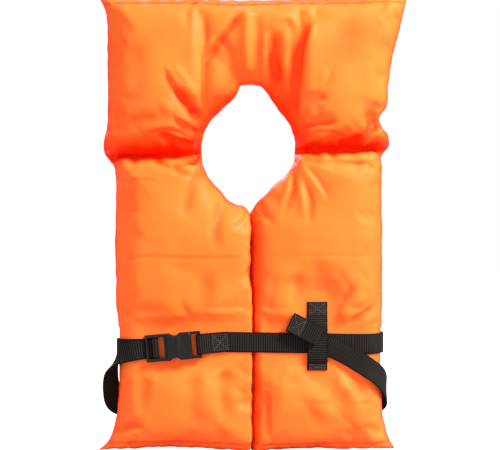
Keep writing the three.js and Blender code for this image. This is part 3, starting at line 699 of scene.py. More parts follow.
@dataclass(frozen=True)
class Fold:
    """One fold of the front skin, along a short path in the plan. A pleat's low side is on its left."""

    kind: FoldKind
    points: tuple[Plan, ...]
    width: float
    height: float
    taper: float = 0.3

    def rise(self, plan: np.ndarray) -> np.ndarray:
        """How far the fold lifts the skin at each place, in millimetres.

        Args:
            plan: places in the plan, one row each.

        Returns:
            The lift of each place, outwards if positive.
        """
        path = smooth_route(self.points, 6) if len(self.points) > 2 else np.array(self.points, float)
        distance, signed, share = to_path(plan, path)
        ends = smoothstep(share, 0, self.taper) * smoothstep(1 - share, 0, self.taper)
        near = (distance / self.width) ** 2
        if self.kind is FoldKind.RIDGE:
            shape = np.exp(-near)
        elif self.kind is FoldKind.VALLEY:
            shape = -(1 - 0.7 * near) * np.exp(-near)
        else:
            shape = -np.tanh(signed / (0.3 * self.width)) * np.exp(-distance / self.width)
        return self.height * ends * shape


def valley(points: Sequence[Plan], width: float, depth: float, taper: float = 0.3) -> Fold:
    """A fold that runs inwards."""
    return Fold(FoldKind.VALLEY, tuple(points), width, depth, taper)


def ridge(points: Sequence[Plan], width: float, height: float, taper: float = 0.3) -> Fold:
    """A fold that stands out."""
    return Fold(FoldKind.RIDGE, tuple(points), width, height, taper)


def pleat(points: Sequence[Plan], width: float, height: float, taper: float = 0.3) -> Fold:
    """A fold that stands out on its path's right and runs in on its left."""
    return Fold(FoldKind.PLEAT, tuple(points), width, height, taper)


COLLAR_FOLDS = (
    pleat([(-60, 90), (-60, 40), (-61, 0), (-63, -42)], 11, 4.5, 0.2),
    valley([(-12, 86), (-36, 56), (-57, 24)], 5, 3.5, 0.2),
    pleat([(-12, 86), (-36, 56), (-57, 24)], 15, 2.6),
    ridge([(-4, 96), (-5, 50), (-4, 10)], 7, 3.2, 0.15),
    valley([(8, 88), (10, 50), (7, 16)], 8, 2.0),
    valley([(31, 72), (28, 34), (34, -6)], 8, 4.2),
    ridge([(24, 60), (34, 78), (50, 80), (62, 58)], 5, 1.8, 0.2),
    ridge([(45, 74), (45, 40), (46, 4)], 6, 2.2),
    pleat([(61, -50), (63, 0), (68, 44), (82, 88)], 13, 5.5, 0.22),
    valley([(120, 84), (122, 44), (114, 0)], 24, 0.7),
    ridge([(192, 104), (172, 76), (166, 40)], 11, 2.4),
    pleat([(104, -80), (140, -71), (158, -60), (170, -40)], 9, 4.2, 0.2),
    pleat([(-64, -24), (-89, -7), (-107, 21)], 7, 3.6),
    ridge([(-96, 24), (-82, 4), (-66, -20)], 5, 1.6),
    pleat([(-61, -74), (-96, -57), (-134, -62)], 6, 2.6),
    pleat([(-62, -62), (-80, -48), (-98, -40)], 5, 2.2),
    valley([(-96, -4), (-78, -26), (-61, -50)], 8, 4.6),
    ridge([(-116, -20), (-92, -40), (-66, -58)], 7, 2.4),
    ridge([(-104, -66), (-84, -69), (-65, -73)], 3, 1.6),
    valley([(-118, -66), (-92, -70), (-67, -77)], 5, 3.2),
    ridge([(-92, -78), (-78, -79), (-65, -81)], 3.5, 2.0),
    valley([(98, -18), (82, -22), (66, -30)], 7, 2.6),
    pleat([(100, 16), (88, -8), (70, -18)], 6, 2.6),
    ridge([(104, -34), (84, -38), (62, -44)], 5, 2.0),
    pleat([(124, -66), (92, -58), (60, -66)], 6, 2.4),
    valley([(112, -50), (86, -52), (60, -56)], 6, 3.0),
    ridge([(106, -61), (82, -67), (60, -74)], 4.5, 2.4),
    valley([(150, -30), (156, -48), (150, -64)], 10, 2.4),
    valley([(-150, 60), (-140, 10), (-148, -40)], 16, 1.4),
    valley([(-160, -50), (-130, -44), (-112, -50)], 9, 1.6),
)

PANEL_FOLDS = (
    valley([(-162, -124), (-136, -121), (-108, -124)], 2.4, 0.8),
    valley([(-163, -162), (-146, -160), (-130, -163)], 2.4, 0.7),
    valley([(-164, -221), (-120, -217), (-70, -219), (-15, -218)], 2.4, 1.1, 0.1),
    valley([(30, -219), (90, -215), (163, -217)], 2.6, 0.5),
    valley([(162, -403), (144, -400), (122, -404)], 3, 0.9),
    pleat([(55, -102), (50, -132), (37, -166)], 7, 2.8),
    pleat([(62, -98), (82, -122), (98, -150)], 7, 2.6),
    ridge([(57, -104), (64, -132), (68, -172)], 6, 2.2),
    valley([(60, -112), (74, -146), (72, -182)], 6, 2.0),
    valley([(-60, -104), (-74, -138), (-84, -172)], 9, 2.4),
    valley([(-34, -142), (-42, -180), (-40, -214)], 8, 2.0),
    pleat([(-96, -106), (-108, -96), (-120, -90)], 5, 1.8),
    valley([(-58, -92), (-90, -101), (-118, -99)], 6, 2.0),
    valley([(-100, -98), (-88, -110), (-70, -116)], 6, 2.2),
    valley([(60, -90), (84, -97), (112, -94)], 6, 2.2),
    ridge([(170, -84), (140, -94), (96, -96)], 8, 2.0),
    valley([(-27, -346), (-34, -376), (-28, -424)], 9, 2.0),
    ridge([(-52, -352), (-56, -386), (-48, -428)], 14, 1.8),
    ridge([(-104, -356), (-98, -392), (-106, -436)], 20, 1.5),
    valley([(-76, -352), (-70, -386), (-78, -430)], 14, 1.1),
    valley([(-140, -350), (-134, -378), (-140, -410)], 10, 1.2),
    valley([(94, -296), (112, -276), (132, -248)], 6, 2.2),
    ridge([(104, -302), (124, -282), (146, -262)], 5, 2.4),
    valley([(116, -308), (136, -292), (160, -276)], 4.5, 2.8),
    ridge([(128, -311), (146, -298), (163, -286)], 4, 2.4),
    valley([(142, -312), (154, -303), (165, -296)], 3.2, 2.2),
    valley([(100, -346), (124, -366), (150, -396)], 6, 2.0),
    valley([(42, -350), (62, -384), (92, -432)], 10, 1.7),
    ridge([(58, -348), (82, -384), (112, -426)], 11, 1.9),
    ridge([(108, -362), (126, -386), (142, -424)], 8, 1.6),
    ridge([(28, -306), (44, -262), (46, -214)], 16, 2.2),
    valley([(64, -296), (62, -262), (50, -232)], 12, 2.0),
    ridge([(-108, -288), (-96, -262), (-90, -226)], 22, 1.2),
    valley([(-58, -300), (-52, -262), (-56, -232)], 13, 1.6),
    valley([(-172, -440), (-150, -428), (-128, -430)], 8, 2.4),
    valley([(168, -438), (150, -430), (134, -434)], 7, 2.0),
)


@dataclass(frozen=True)
class Edge:
    """One stretch of the cover's outline in the plan, and how broadly the pad rolls over towards it."""

    group: str
    roll: float
    points: tuple[Plan, ...]

    def path(self, step: float) -> np.ndarray:
        """The stretch, sampled at equal steps."""
        return even_steps(smooth_route(self.points, 12), step)


@dataclass
class CoverOutline:
    """The seam all round the cover: one loop, open down the front between the two panels."""

    step: float = 4.0
    lips: float = 0.2
    edges: tuple[Edge, ...] = field(init=False)

    def __post_init__(self) -> None:
        """Lay the stretches out one after another, clockwise from the collar's left corner."""
        lip = self.lips
        self.edges = (
            Edge("top", 20, (
                (-192, 112), (-150, 111), (-80, 110), (0, 109.5), (80, 110), (150, 112), (200, 114),
            )),
            Edge("side", 28, (
                (200, 114), (191, 72), (182, 34), (177, 2), (174, -26), (164, -43), (168, -54),
                (178.5, -66), (180.5, -75), (170, -89), (168, -110), (169, -200), (168, -300),
                (166.5, -330), (167.5, -380), (170, -420), (177, -446), (185, -463),
            )),
            Edge("hem", 20, ((185, -463), (130, -462), (60, -463), (lip, -465))),
            Edge("slit", 7, ((lip, -465), (lip, -300), (lip, -163))),
            Edge("neck", 17, (
                (lip, -163), (8, -150), (17, -141), (31, -126), (47, -112), (55, -97), (57.5, -80),
                (55.5, -65),
            )),
            Edge("yoke", 32, ((55.5, -65), (49, -48), (35, -31), (21, -10), (15, -2))),
            Edge("yoke", 32, ((15, -2), (2, 0.5), (-12, 0))),
            Edge("yoke", 32, ((-12, 0), (-18, -14), (-34, -30), (-50, -46), (-59, -62))),
            Edge("neck", 17, (
                (-59, -62), (-62.5, -80), (-61, -97), (-55.5, -112), (-47, -123), (-37, -134), (-27, -146),
                (-18, -151), (-8, -153), (-lip, -163),
            )),
            Edge("slit", 7, ((-lip, -163), (-lip, -300), (-lip, -465))),
            Edge("hem", 20, ((-lip, -465), (-60, -462), (-130, -461), (-194, -464))),
            Edge("side", 28, (
                (-194, -464), (-181, -452), (-174, -436), (-168.5, -404), (-166.5, -368), (-166.5, -345),
                (-166.5, -330), (-167.5, -310), (-170.5, -270), (-172.5, -200), (-172.5, -110), (-178, -98),
                (-188.5, -84), (-187, -72), (-182.5, -50), (-182.5, 28), (-184, 92), (-192, 112),
            )),
        )

    def loop(self) -> np.ndarray:
        """The whole outline, sampled, with no place twice."""
        return np.vstack([edge.path(self.step)[:-1] for edge in self.edges])

    def distances(self, plan: np.ndarray) -> dict[str, np.ndarray]:
        """How far each place is from each group of edges.

        Args:
            plan: places in the plan, one row each.

        Returns:
            The distances, by the group's name.
        """
        found: dict[str, np.ndarray] = {}
        for edge in self.edges:
            distance = to_path(plan, edge.path(self.step))[0]
            found[edge.group] = np.minimum(found.get(edge.group, distance), distance)
        return found

    def rolls(self) -> dict[str, float]:
        """Each group's roll."""
        return {edge.group: edge.roll for edge in self.edges}


@dataclass(frozen=True)
class Filling:
    """What blows the cover out: the cloth it is made of and the pressure inside it."""

    quality: int = 4
    mass: float = 0.2
    stretch_stiffness: float = 25.0
    bending_stiffness: float = 0.4
    pressure: float = 4.0
    slack: float = 0.03
    steps: int = 20
    strap_hold: float = 0.95


@dataclass(frozen=True)
class PaintedShade:
    """How strong the painted shade in the cover's colour is in each kind of place, from 0 to 1."""

    hollow: float = 0.6
    fold: float = 0.75
    yoke: float = 0.7
    seam: float = 0.5
    left: float = 0.2


@dataclass
class PaddedCover:
    """The collar and both front panels: one cover of coated nylon, filled and sewn round its edges."""

    half_thickness: float = 28.0
    crown: float = 8.5
    crown_reach: float = 75.0
    mesh_step: float = 5.0
    rings: tuple[float, ...] = (0.8, 2.6, 5.4, 9.0, 13.0)
    fold_height: float = -85.0
    fold_slope: float = 0.03
    fold_seam: float = 24.5
    web_half: float = 2.2
    collar_roll: float = 30.0
    panel_roll: float = 13.0
    soft_middle: tuple[float, float, float, float] = (-74, -60, 62, 78)
    middle_sink: float = 9.0
    swell_cap: float = 6.0
    fold_gain: float = 1.5
    slit_lean: float = -0.26
    slit_top: float = -163.0
    strap_room: float = 26.0
    hinge_depth: float = 26.0
    bend_half: float = 4.0
    seam_depth: float = 2.4
    seam_width: float = 2.6
    edge_pucker: float = 0.3
    fold_pucker: float = 1.2
    waves: tuple[tuple[float, float, int], ...] = ((0.9, 95, 3), (0.16, 34, 5), (0.04, 13, 7))
    filling: Filling = Filling()
    painted_shade: PaintedShade = PaintedShade()
    outline: CoverOutline = field(default_factory=CoverOutline)
    straps: tuple[tuple[float, tuple[Plan, ...]], ...] = (
        (15.0, ((-175, -336), (-145, -334), (-30, -324), (60, -326), (175, -326))),
        (18.0, ((-132, -332), (-60, -326))),
        (13.5, ((84, -274), (84, -358))),
        (13.0, ((84, -320), (118, -338), (145, -354), (168, -376))),
        (13.0, ((-145, -336), (-175, -352))),
    )

    def beside_fold(self, plan: np.ndarray) -> tuple[np.ndarray, np.ndarray]:
        """How far each place is from the fold under the collar, and whether it is above it."""
        away = plan[:, 1] - (self.fold_height + self.fold_slope * plan[:, 0])
        return np.abs(away), away > 0

    def under_straps(self, plan: np.ndarray) -> np.ndarray:
        """0 where a strap presses the front skin flat, rising to 1 away from the straps.

        Args:
            plan: places in the plan, one row each.

        Returns:
            How free each place is.
        """
        free = np.ones(len(plan))
        for half, points in self.straps:
            distance = to_path(plan, np.array(points, float))[0] - half
            free *= smoothstep(distance, 0, self.strap_room)
        return free

    def flat_mesh(self) -> tuple[np.ndarray, list[list[int]], int]:
        """Mesh the outline's inside in the plan.

        Returns:
            The places, the faces and how many of the first places are on the outline.
        """
        loop = self.outline.loop()
        closed = np.vstack([loop, loop[:1]])
        run = np.roll(loop, -1, axis=0) - np.roll(loop, 1, axis=0)
        inward = unit(np.stack([run[:, 1], -run[:, 0]], axis=1))
        places = [loop]
        taken: set[tuple[int, int, int]] = set()
        for ring in self.rings:
            spots = loop + inward * ring
            clear = to_path(spots, closed)[0] > 0.93 * ring
            kept = []
            for spot in spots[clear]:
                cell = (int(spot[0] // 2.3), int(spot[1] // 2.3), int(ring))
                if cell not in taken:
                    taken.add(cell)
                    kept.append(spot)
            places.append(np.array(kept))
        low, high = loop.min(axis=0), loop.max(axis=0)
        grid = np.stack(np.meshgrid(
            np.arange(low[0], high[0], self.mesh_step), np.arange(low[1], high[1], self.mesh_step)
        ), axis=-1).reshape(-1, 2)
        distance, _, _ = to_path(grid, closed)
        inside = inside_loop(grid, loop)
        places.append(grid[inside & (distance > self.rings[-1] + 0.7 * self.mesh_step)])
        everything = np.vstack(places)
        count = len(loop)
        rim = [(k, (k + 1) % count) for k in range(count)]
        found = delaunay_2d_cdt([Vector(p) for p in everything], rim, [], 1, 1e-4)
        flat = np.array([tuple(v) for v in found[0]])
        return flat, [list(face) for face in found[2]], count

    def lift(self, plan: np.ndarray) -> tuple[np.ndarray, np.ndarray, np.ndarray]:
        """Give every place in the plan its depth.

        Args:
            plan: places in the plan.

        Returns:
            The depth of the front skin, of the lining and of the seam between them.
        """
        distances = self.outline.distances(plan)
        rolls = self.outline.rolls()
        full = np.ones(len(plan))
        nearest = np.full(len(plan), np.inf)
        for group, distance in distances.items():
            full *= rounded(distance / rolls[group])
            nearest = np.minimum(nearest, distance)
        away, above = self.beside_fold(plan)
        lip = np.maximum(0, away - self.web_half)
        dip = rounded(lip / np.where(above, self.collar_roll, self.panel_roll))
        seam = self.fold_seam * np.exp(-((away / 13) ** 2))
        room = np.minimum(nearest, lip)
        crown = self.crown * np.sin(0.5 * math.pi * np.clip(room / self.crown_reach, 0, 1)) ** 2
        start, low, back, end = self.soft_middle
        middle = smoothstep(plan[:, 0], start, low) * (1 - smoothstep(plan[:, 0], back, end))
        middle *= smoothstep(-plan[:, 1], -106, -30) * above
        height = self.half_thickness + crown * self.under_straps(plan) - self.middle_sink * middle
        front = seam - (height + seam) * full * dip
        lining = seam + (self.half_thickness - seam) * full
        return front, lining, seam

    def blank(self) -> bpy.types.Object:
        """The closed pad before it is filled: a front skin and a lining that meet at the seam.

        Returns:
            The pad.
        """
        plan, faces, _ = self.flat_mesh()
        front, lining, seam = self.lift(plan)
        rim = to_path(plan, np.vstack([self.outline.loop(), self.outline.loop()[:1]]))[0] < 0.02
        twin = np.arange(len(plan))
        inner = np.flatnonzero(~rim)
        twin[inner] = len(plan) + np.arange(len(inner))
        depth = np.where(rim, seam, front)
        skin = np.stack([plan[:, 0], depth, plan[:, 1]], axis=1)
        back = np.stack([plan[inner, 0], lining[inner], plan[inner, 1]], axis=1)
        both = [*faces, *[[int(twin[i]) for i in reversed(face)] for face in faces]]
        piece = mesh_piece("padded_cover", np.vstack([skin, back]) * MM, both)
        with reshaping(piece.data) as shell:
            bmesh.ops.join_triangles(
                shell, faces=shell.faces[:], angle_face_threshold=0.9, angle_shape_threshold=0.7
            )
            bmesh.ops.recalc_face_normals(shell, faces=shell.faces[:])
        return piece

    def fill(self, piece: bpy.types.Object) -> None:
        """Blow the cover out against its seams and straps, as its filling does, and keep the shape.

        Args:
            piece: the cover; its vertices are moved.
        """
        rest = rows_of(piece.data.vertices, "co")
        plan = rest[:, (0, 2)] / MM
        closed = np.vstack([self.outline.loop(), self.outline.loop()[:1]])
        away, _ = self.beside_fold(plan)
        held = (to_path(plan, closed)[0] < 0.5) | (away < self.web_half + 1)
        air = self.filling
        hold = np.maximum(held.astype(float), air.strap_hold * (1 - self.under_straps(plan)))
        group = piece.vertex_groups.new(name="held")
        for k, weight in enumerate(hold):
            group.add([k], float(weight), "REPLACE")
        cloth = piece.modifiers.new("Filling", "CLOTH")
        cloth.settings.quality = air.quality
        cloth.settings.mass = air.mass
        cloth.settings.tension_stiffness = air.stretch_stiffness
        cloth.settings.compression_stiffness = air.stretch_stiffness
        cloth.settings.bending_stiffness = air.bending_stiffness
        cloth.settings.use_pressure = True
        cloth.settings.uniform_pressure_force = air.pressure
        cloth.settings.shrink_min = -air.slack
        cloth.settings.shrink_max = -air.slack
        cloth.settings.vertex_group_mass = "held"
        cloth.settings.effector_weights.gravity = 0
        cloth.point_cache.frame_start = 1
        cloth.point_cache.frame_end = air.steps
        for now in range(1, air.steps + 1):
            bpy.context.scene.frame_set(now)
        graph = bpy.context.evaluated_depsgraph_get()
        blown = rows_of(piece.evaluated_get(graph).data.vertices, "co")
        piece.modifiers.clear()
        piece.vertex_groups.clear()
        bpy.context.scene.frame_set(1)
        moved = blown - rest
        reach = np.linalg.norm(moved, axis=1)
        cap = self.swell_cap * MM * (0.15 + 0.85 * self.under_straps(plan))
        moved *= np.minimum(1, cap / np.maximum(reach, 1e-9))[:, None]
        LOG.info("cover filled: furthest move %.1f mm, mean %.2f mm", reach.max() / MM, reach.mean() / MM)
        places = rest + np.nan_to_num(moved)
        self.part_slit(places, rest)
        move_vertices(piece.data, places)

    def part_slit(self, places: np.ndarray, before: np.ndarray) -> None:
        """Keep each panel on its own side of the slit, in place.

        Args:
            places: every vertex, in metres; changed in place.
            before: the same vertices, while each was still on its own side.
        """
        beside = (np.abs(before[:, 0]) < 0.045) & (before[:, 2] < self.slit_top * MM)
        side = np.where(before[:, 0] < 0, -1.0, 1.0)
        kept = side * np.maximum(side * places[:, 0], self.outline.lips * MM)
        places[:, 0] = np.where(beside, kept, places[:, 0])

    def lean_slit(self, places: np.ndarray) -> None:
        """Lean the two lips of the slit over together, so that they close it, in place.

        Args:
            places: every vertex, in metres; changed in place.
        """
        near = 1 - smoothstep(np.abs(places[:, 0]) / MM, 4, 40)
        near *= smoothstep(-places[:, 2] / MM, -self.slit_top - 14, -self.slit_top + 8)
        places[:, 0] += self.slit_lean * near * places[:, 1]

    def crease(self, piece: bpy.types.Object) -> None:
        """Press the folds, seams, gathers and unevenness into the cover.

        Args:
            piece: the cover; its vertices are moved and its painted shade is stored.
        """
        mesh = piece.data
        places = rows_of(mesh.vertices, "co")
        normals = rows_of(mesh.vertex_normals, "vector")
        plan = places[:, (0, 2)] / MM
        away, above = self.beside_fold(plan)
        distances = self.outline.distances(plan)
        nearest = np.minimum.reduce(list(distances.values()))
        skin = np.where(normals[:, 1] < 0.25, 1.0, 0.0) * smoothstep(nearest, 0, 6)
        free = self.under_straps(plan)
        rise = np.zeros(len(plan))
        for fold in COLLAR_FOLDS:
            rise += fold.rise(plan) * above
        for fold in PANEL_FOLDS:
            rise += fold.rise(plan) * ~above
        rise *= self.fold_gain * skin * smoothstep(away, 2, 9)
        rise += self.seams(plan) * skin
        pucker = self.edge_pucker * ripples(plan, 16, 11) * np.exp(-((nearest - 7) / 7) ** 2)
        pucker += self.fold_pucker * ripples(plan * (1, 0.35), 15, 12) * np.exp(-((away - 10) / 8) ** 2)
        broad = sum(height * ripples(plan, length, seed) for height, length, seed in self.waves)
        rise += (pucker + broad * smoothstep(nearest, 2, 16)) * np.where(normals[:, 1] > 0.3, 0.45, 1.0)
        rise *= 0.08 + 0.92 * free
        before = places.copy()
        places += normals * rise[:, None] * MM
        self.keep_clear(places, plan, free)
        self.part_slit(places, before)
        self.lean_slit(places)
        # Painted shade, deeper and redder colour: in hollows, beside the fold under the collar, on the
        # yoke's flanks, along the sewn edges and on the lower left of the collar.
        shade = np.clip(-rise / 7, 0, self.painted_shade.hollow)
        shade += self.painted_shade.fold * np.exp(-((away / np.where(above, 21, 6)) ** 2)) * (normals[:, 1] < 0.3)
        flank = 0.3 + 0.7 * smoothstep(np.abs(plan[:, 0]), 10, 34)
        shade += self.painted_shade.yoke * flank * np.exp(-((distances["yoke"] / 17) ** 2)) * above
        sewn = np.minimum.reduce([distances[group] for group in distances if group != "slit"])
        shade += self.painted_shade.seam * np.exp(-((sewn / 4.5) ** 2))
        shade += self.painted_shade.left * smoothstep(-plan[:, 1], -20, 60) * above * (plan[:, 0] < 0)
        move_vertices(mesh, places)
        point_attribute(mesh, "fold_shade", np.clip(shade, 0, 1))

    def seams(self, plan: np.ndarray) -> np.ndarray:
        """The sewn lines across the top of the collar and along the hem, in millimetres.

        Args:
            plan: places in the plan, one row each.

        Returns:
            How far the skin sinks into them, as a negative lift.
        """
        total = np.zeros(len(plan))
        for points in self.seam_lines():
            distance = to_path(plan, smooth_route(points, 8))[0]
            total -= self.seam_depth * np.exp(-((distance / self.seam_width) ** 2))
        return total

    def seam_lines(self) -> tuple[tuple[Plan, ...], ...]:
        """The paths of the visible sewn lines, in the plan."""
        return (
            ((-184, 101), (-110, 102), (0, 101), (110, 102.5), (192, 104)),
            ((-178, -452), (-100, -452), (-8, -454)),
            ((8, -454), (100, -453), (174, -452)),
        )

    def keep_clear(self, places: np.ndarray, plan: np.ndarray, free: np.ndarray) -> None:
        """Hold the skins inside the straps that lie over them, in place.

        Args:
            places: every vertex, in metres; changed in place.
            plan: the same places in the plan, in millimetres.
            free: how clear of the straps each place is.
        """
        flat = self.half_thickness * MM
        pressed = free < 0.02
        front = pressed & (places[:, 1] < 0)
        places[front, 1] = np.maximum(places[front, 1], -flat)
        lining = places[:, 1] > flat
        places[lining, 1] = flat
        core = (166 - self.half_thickness) * MM
        out = np.abs(places[:, 0]) - core
        belt = (out > 0) & (np.abs(plan[:, 1] + 331) < 24)
        radius = np.hypot(out, places[:, 1])
        pull = np.where(belt & (radius > flat), flat / np.maximum(radius, 1e-9), 1.0)
        places[:, 0] = np.where(belt, np.sign(places[:, 0]) * (core + out * pull), places[:, 0])
        places[:, 1] *= np.where(belt, pull, 1.0)

    def build(self) -> bpy.types.Object:
        """Make the cover and dress it.

        Returns:
            The finished cover.
        """
        piece = self.blank()
        self.fill(piece)
        smooth = piece.modifiers.new("Smooth", "SUBSURF")
        smooth.levels = 1
        smooth.render_levels = 1
        settle(piece)
        self.crease(piece)
        shade_smooth(piece)
        coat(piece, COVER.material())
        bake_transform(piece)
        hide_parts(*[f"{pad}_{side}_cover" for pad in PADS for side in ("front", "lining")])
        LOG.info("padded_cover: %d faces", len(piece.data.polygons))
        return piece


PADS = ("collar", "right_panel", "left_panel")


def inside_loop(points: np.ndarray, loop: np.ndarray) -> np.ndarray:
    """Whether each place lies inside a closed loop, by counting crossings.

    Args:
        points: places in the plan, one row each.
        loop: the loop's places, with none twice.

    Returns:
        True for each place inside.
    """
    inside = np.zeros(len(points), bool)
    for a, b in zip(loop, np.roll(loop, -1, axis=0)):
        crosses = (a[1] > points[:, 1]) != (b[1] > points[:, 1])
        with np.errstate(divide="ignore", invalid="ignore"):
            x = a[0] + (points[:, 1] - a[1]) * (b[0] - a[0]) / (b[1] - a[1])
        inside ^= crosses & (points[:, 0] < x)
    return inside


@dataclass
class FoamBoards:
    """The three foam boards inside each pad, a little slack in their cover."""

    inset: float = 13.0
    panel_squeeze: float = 0.58
    collar_squeeze: float = 0.28
    half_width: float = 150.0
    panel_lowest: float = -444.0
    collar_lowest: float = -71.0
    corner: float = 1.2

    def board(self, node: str, body: str, squeeze: float, lowest: float) -> None:
        """Make one board from its frame piece, slimmer all round and with rounded edges.

        Args:
            node: the frame piece.
            body: the body that it moves with.
            squeeze: its depth, as a share of the frame piece's.
            lowest: its lowest height.
        """
        source = frame["nodes"][node]
        mesh = source.data.copy()
        reach = self.half_width * MM
        with reshaping(mesh) as shell:
            bmesh.ops.remove_doubles(shell, verts=shell.verts[:], dist=1e-5)
            shell.normal_update()
            for vertex in shell.verts:
                flat = Vector((vertex.normal.x, 0, vertex.normal.z))
                if flat.length > 0.1:
                    vertex.co -= flat.normalized() * self.inset * MM
                vertex.co.x = min(max(vertex.co.x, -reach), reach)
                vertex.co.y *= squeeze
                vertex.co.z = max(vertex.co.z, lowest * MM)
        piece = new_object(f"{node}_board", mesh)
        round_edges(piece, self.corner, 2, 50, False)
        coat(piece, self.foam)
        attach(piece, body)
        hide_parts(node)

    def build(self) -> None:
        """Make every board."""
        self.foam = FOAM.material()
        for pad in PADS:
            for layer in (1, 2, 3):
                node = f"{pad}_foam_{layer}"
                if pad == "collar":
                    self.board(node, "collar", self.collar_squeeze, self.collar_lowest)
                else:
                    self.board(node, "front_panels", self.panel_squeeze, self.panel_lowest)
        LOG.info("foam boards: 9")


# ---------------------------------------------------------------- belt


@dataclass
class BuckleFrame:
    """The buckle's own frame: along the belt, out from the panels, and up across the belt."""

    x: float = -103.0
    z: float = -329.6
    front: float = -28.0
    tilt: float = field(init=False)

    def __post_init__(self) -> None:
        """Take the tilt from the way that the socket slides off."""
        axis = next(joint["axis"] for joint in frame["joints"] if joint["name"] == "buckle_release")
        self.tilt = math.atan2(axis[2], axis[0])

    def at(self, along: float, out: float, up: float = 0.0) -> np.ndarray:
        """A place in the buckle's frame, in the jacket's frame."""
        c, s = math.cos(self.tilt), math.sin(self.tilt)
        return np.array([self.x + along * c - up * s, self.front - out, self.z + along * s + up * c])

    def around(self, along: float, out: float, radius: float, start: float, end: float, steps: int) -> list:
        """Places on an arc round a bar; the angles are in degrees from along the belt."""
        angles = np.radians(np.linspace(start, end, steps + 1))
        return [self.at(along + radius * math.cos(a), out + radius * math.sin(a)) for a in angles]

    def across(self, places: np.ndarray, tangents: np.ndarray) -> np.ndarray:
        """The webbing's width here, which is up across the belt everywhere."""
        return np.tile([-math.sin(self.tilt), 0, math.cos(self.tilt)], (len(places), 1))


@dataclass
class Strap:
    """One length of webbing along a route, ribbed across and rounded at its edges."""

    name: str
    places: np.ndarray
    across: np.ndarray
    body: str
    nodes: tuple[str, ...]
    width: float = 25.4
    thickness: float = 1.6
    rib_pitch: float = 2.9
    rib_height: float = 0.5
    start_length: float = 0.0

    def section(self) -> np.ndarray:
        """The webbing's cross-section: across, through, and how much it is ribbed.

        Returns:
            One row for each corner.
        """
        w, t = self.width / 2, self.thickness / 2
        top = [(-w + 0.5, t, 0.5), (-w + 2.2, t, 1), (0, t, 1), (w - 2.2, t, 1), (w - 0.5, t, 0.5)]
        bottom = [(a, -b, c) for a, b, c in reversed(top)]
        return np.array([*top, (w, 0, 0.15), *bottom, (-w, 0, 0.15)])

    def build(self, material: bpy.types.Material) -> bpy.types.Object:
        """Sweep the section along the route, rib it and dress it.

        Args:
            material: the webbing's finish.

        Returns:
            The finished strap.
        """
        section = self.section()
        count, stations = len(section), len(self.places)
        tangents = unit(np.gradient(self.places, axis=0))
        across = unit(self.across - tangents * np.sum(self.across * tangents, axis=1)[:, None])
        through = np.cross(tangents, across)
        rows = self.places[:, None] + across[:, None] * section[None, :, :1]
        rows = rows + through[:, None] * section[None, :, 1:2]
        base = np.arange(stations - 1)[:, None] * count
        step = np.arange(count)[None]
        after = (step + 1) % count
        faces = np.stack([base + step, base + after, base + after + count, base + step + count], axis=-1)
        quads = faces.reshape(-1, 4).tolist()
        last = (stations - 1) * count
        for start in (0, last):
            ring = [start + k for k in range(count)]
            quads.append(ring if start else ring[::-1])
        piece = mesh_piece(self.name, rows.reshape(-1, 3) * MM, quads)
        mesh = piece.data
        with reshaping(mesh) as shell:
            bmesh.ops.recalc_face_normals(shell, faces=shell.faces[:])
        length = arc_lengths(self.places) + self.start_length
        along = np.repeat(length, count) * MM
        point_attribute(mesh, "along", along)
        point_attribute(mesh, "face_share", np.tile(section[:, 2], stations))
        layer = mesh.uv_layers.new(name="UVMap")
        corner = np.zeros(len(mesh.loops), np.int32)
        mesh.loops.foreach_get("vertex_index", corner)
        width_at = np.tile(section[:, 0], stations) * MM
        flat = np.stack([along[corner], width_at[corner]], axis=1)
        layer.data.foreach_set("uv", flat.astype(np.float32).ravel())
        give_modifier(piece, TREES["ribs"], {
            "Rib Pitch": self.rib_pitch * MM,
            "Rib Height": self.rib_height * MM,
            "Material": material,
        })
        shade_smooth(piece)
        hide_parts(*self.nodes)
        if self.body:
            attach(piece, self.body)
        LOG.info("%s: %d faces, %.0f mm", self.name, len(piece.data.polygons), length[-1] - length[0])
        return piece


def steady(direction: Sequence[float]) -> Callable[[np.ndarray, np.ndarray], np.ndarray]:
    """The rule that a strap's width points the same way all along it."""
    return lambda places, tangents: np.tile(direction, (len(places), 1))


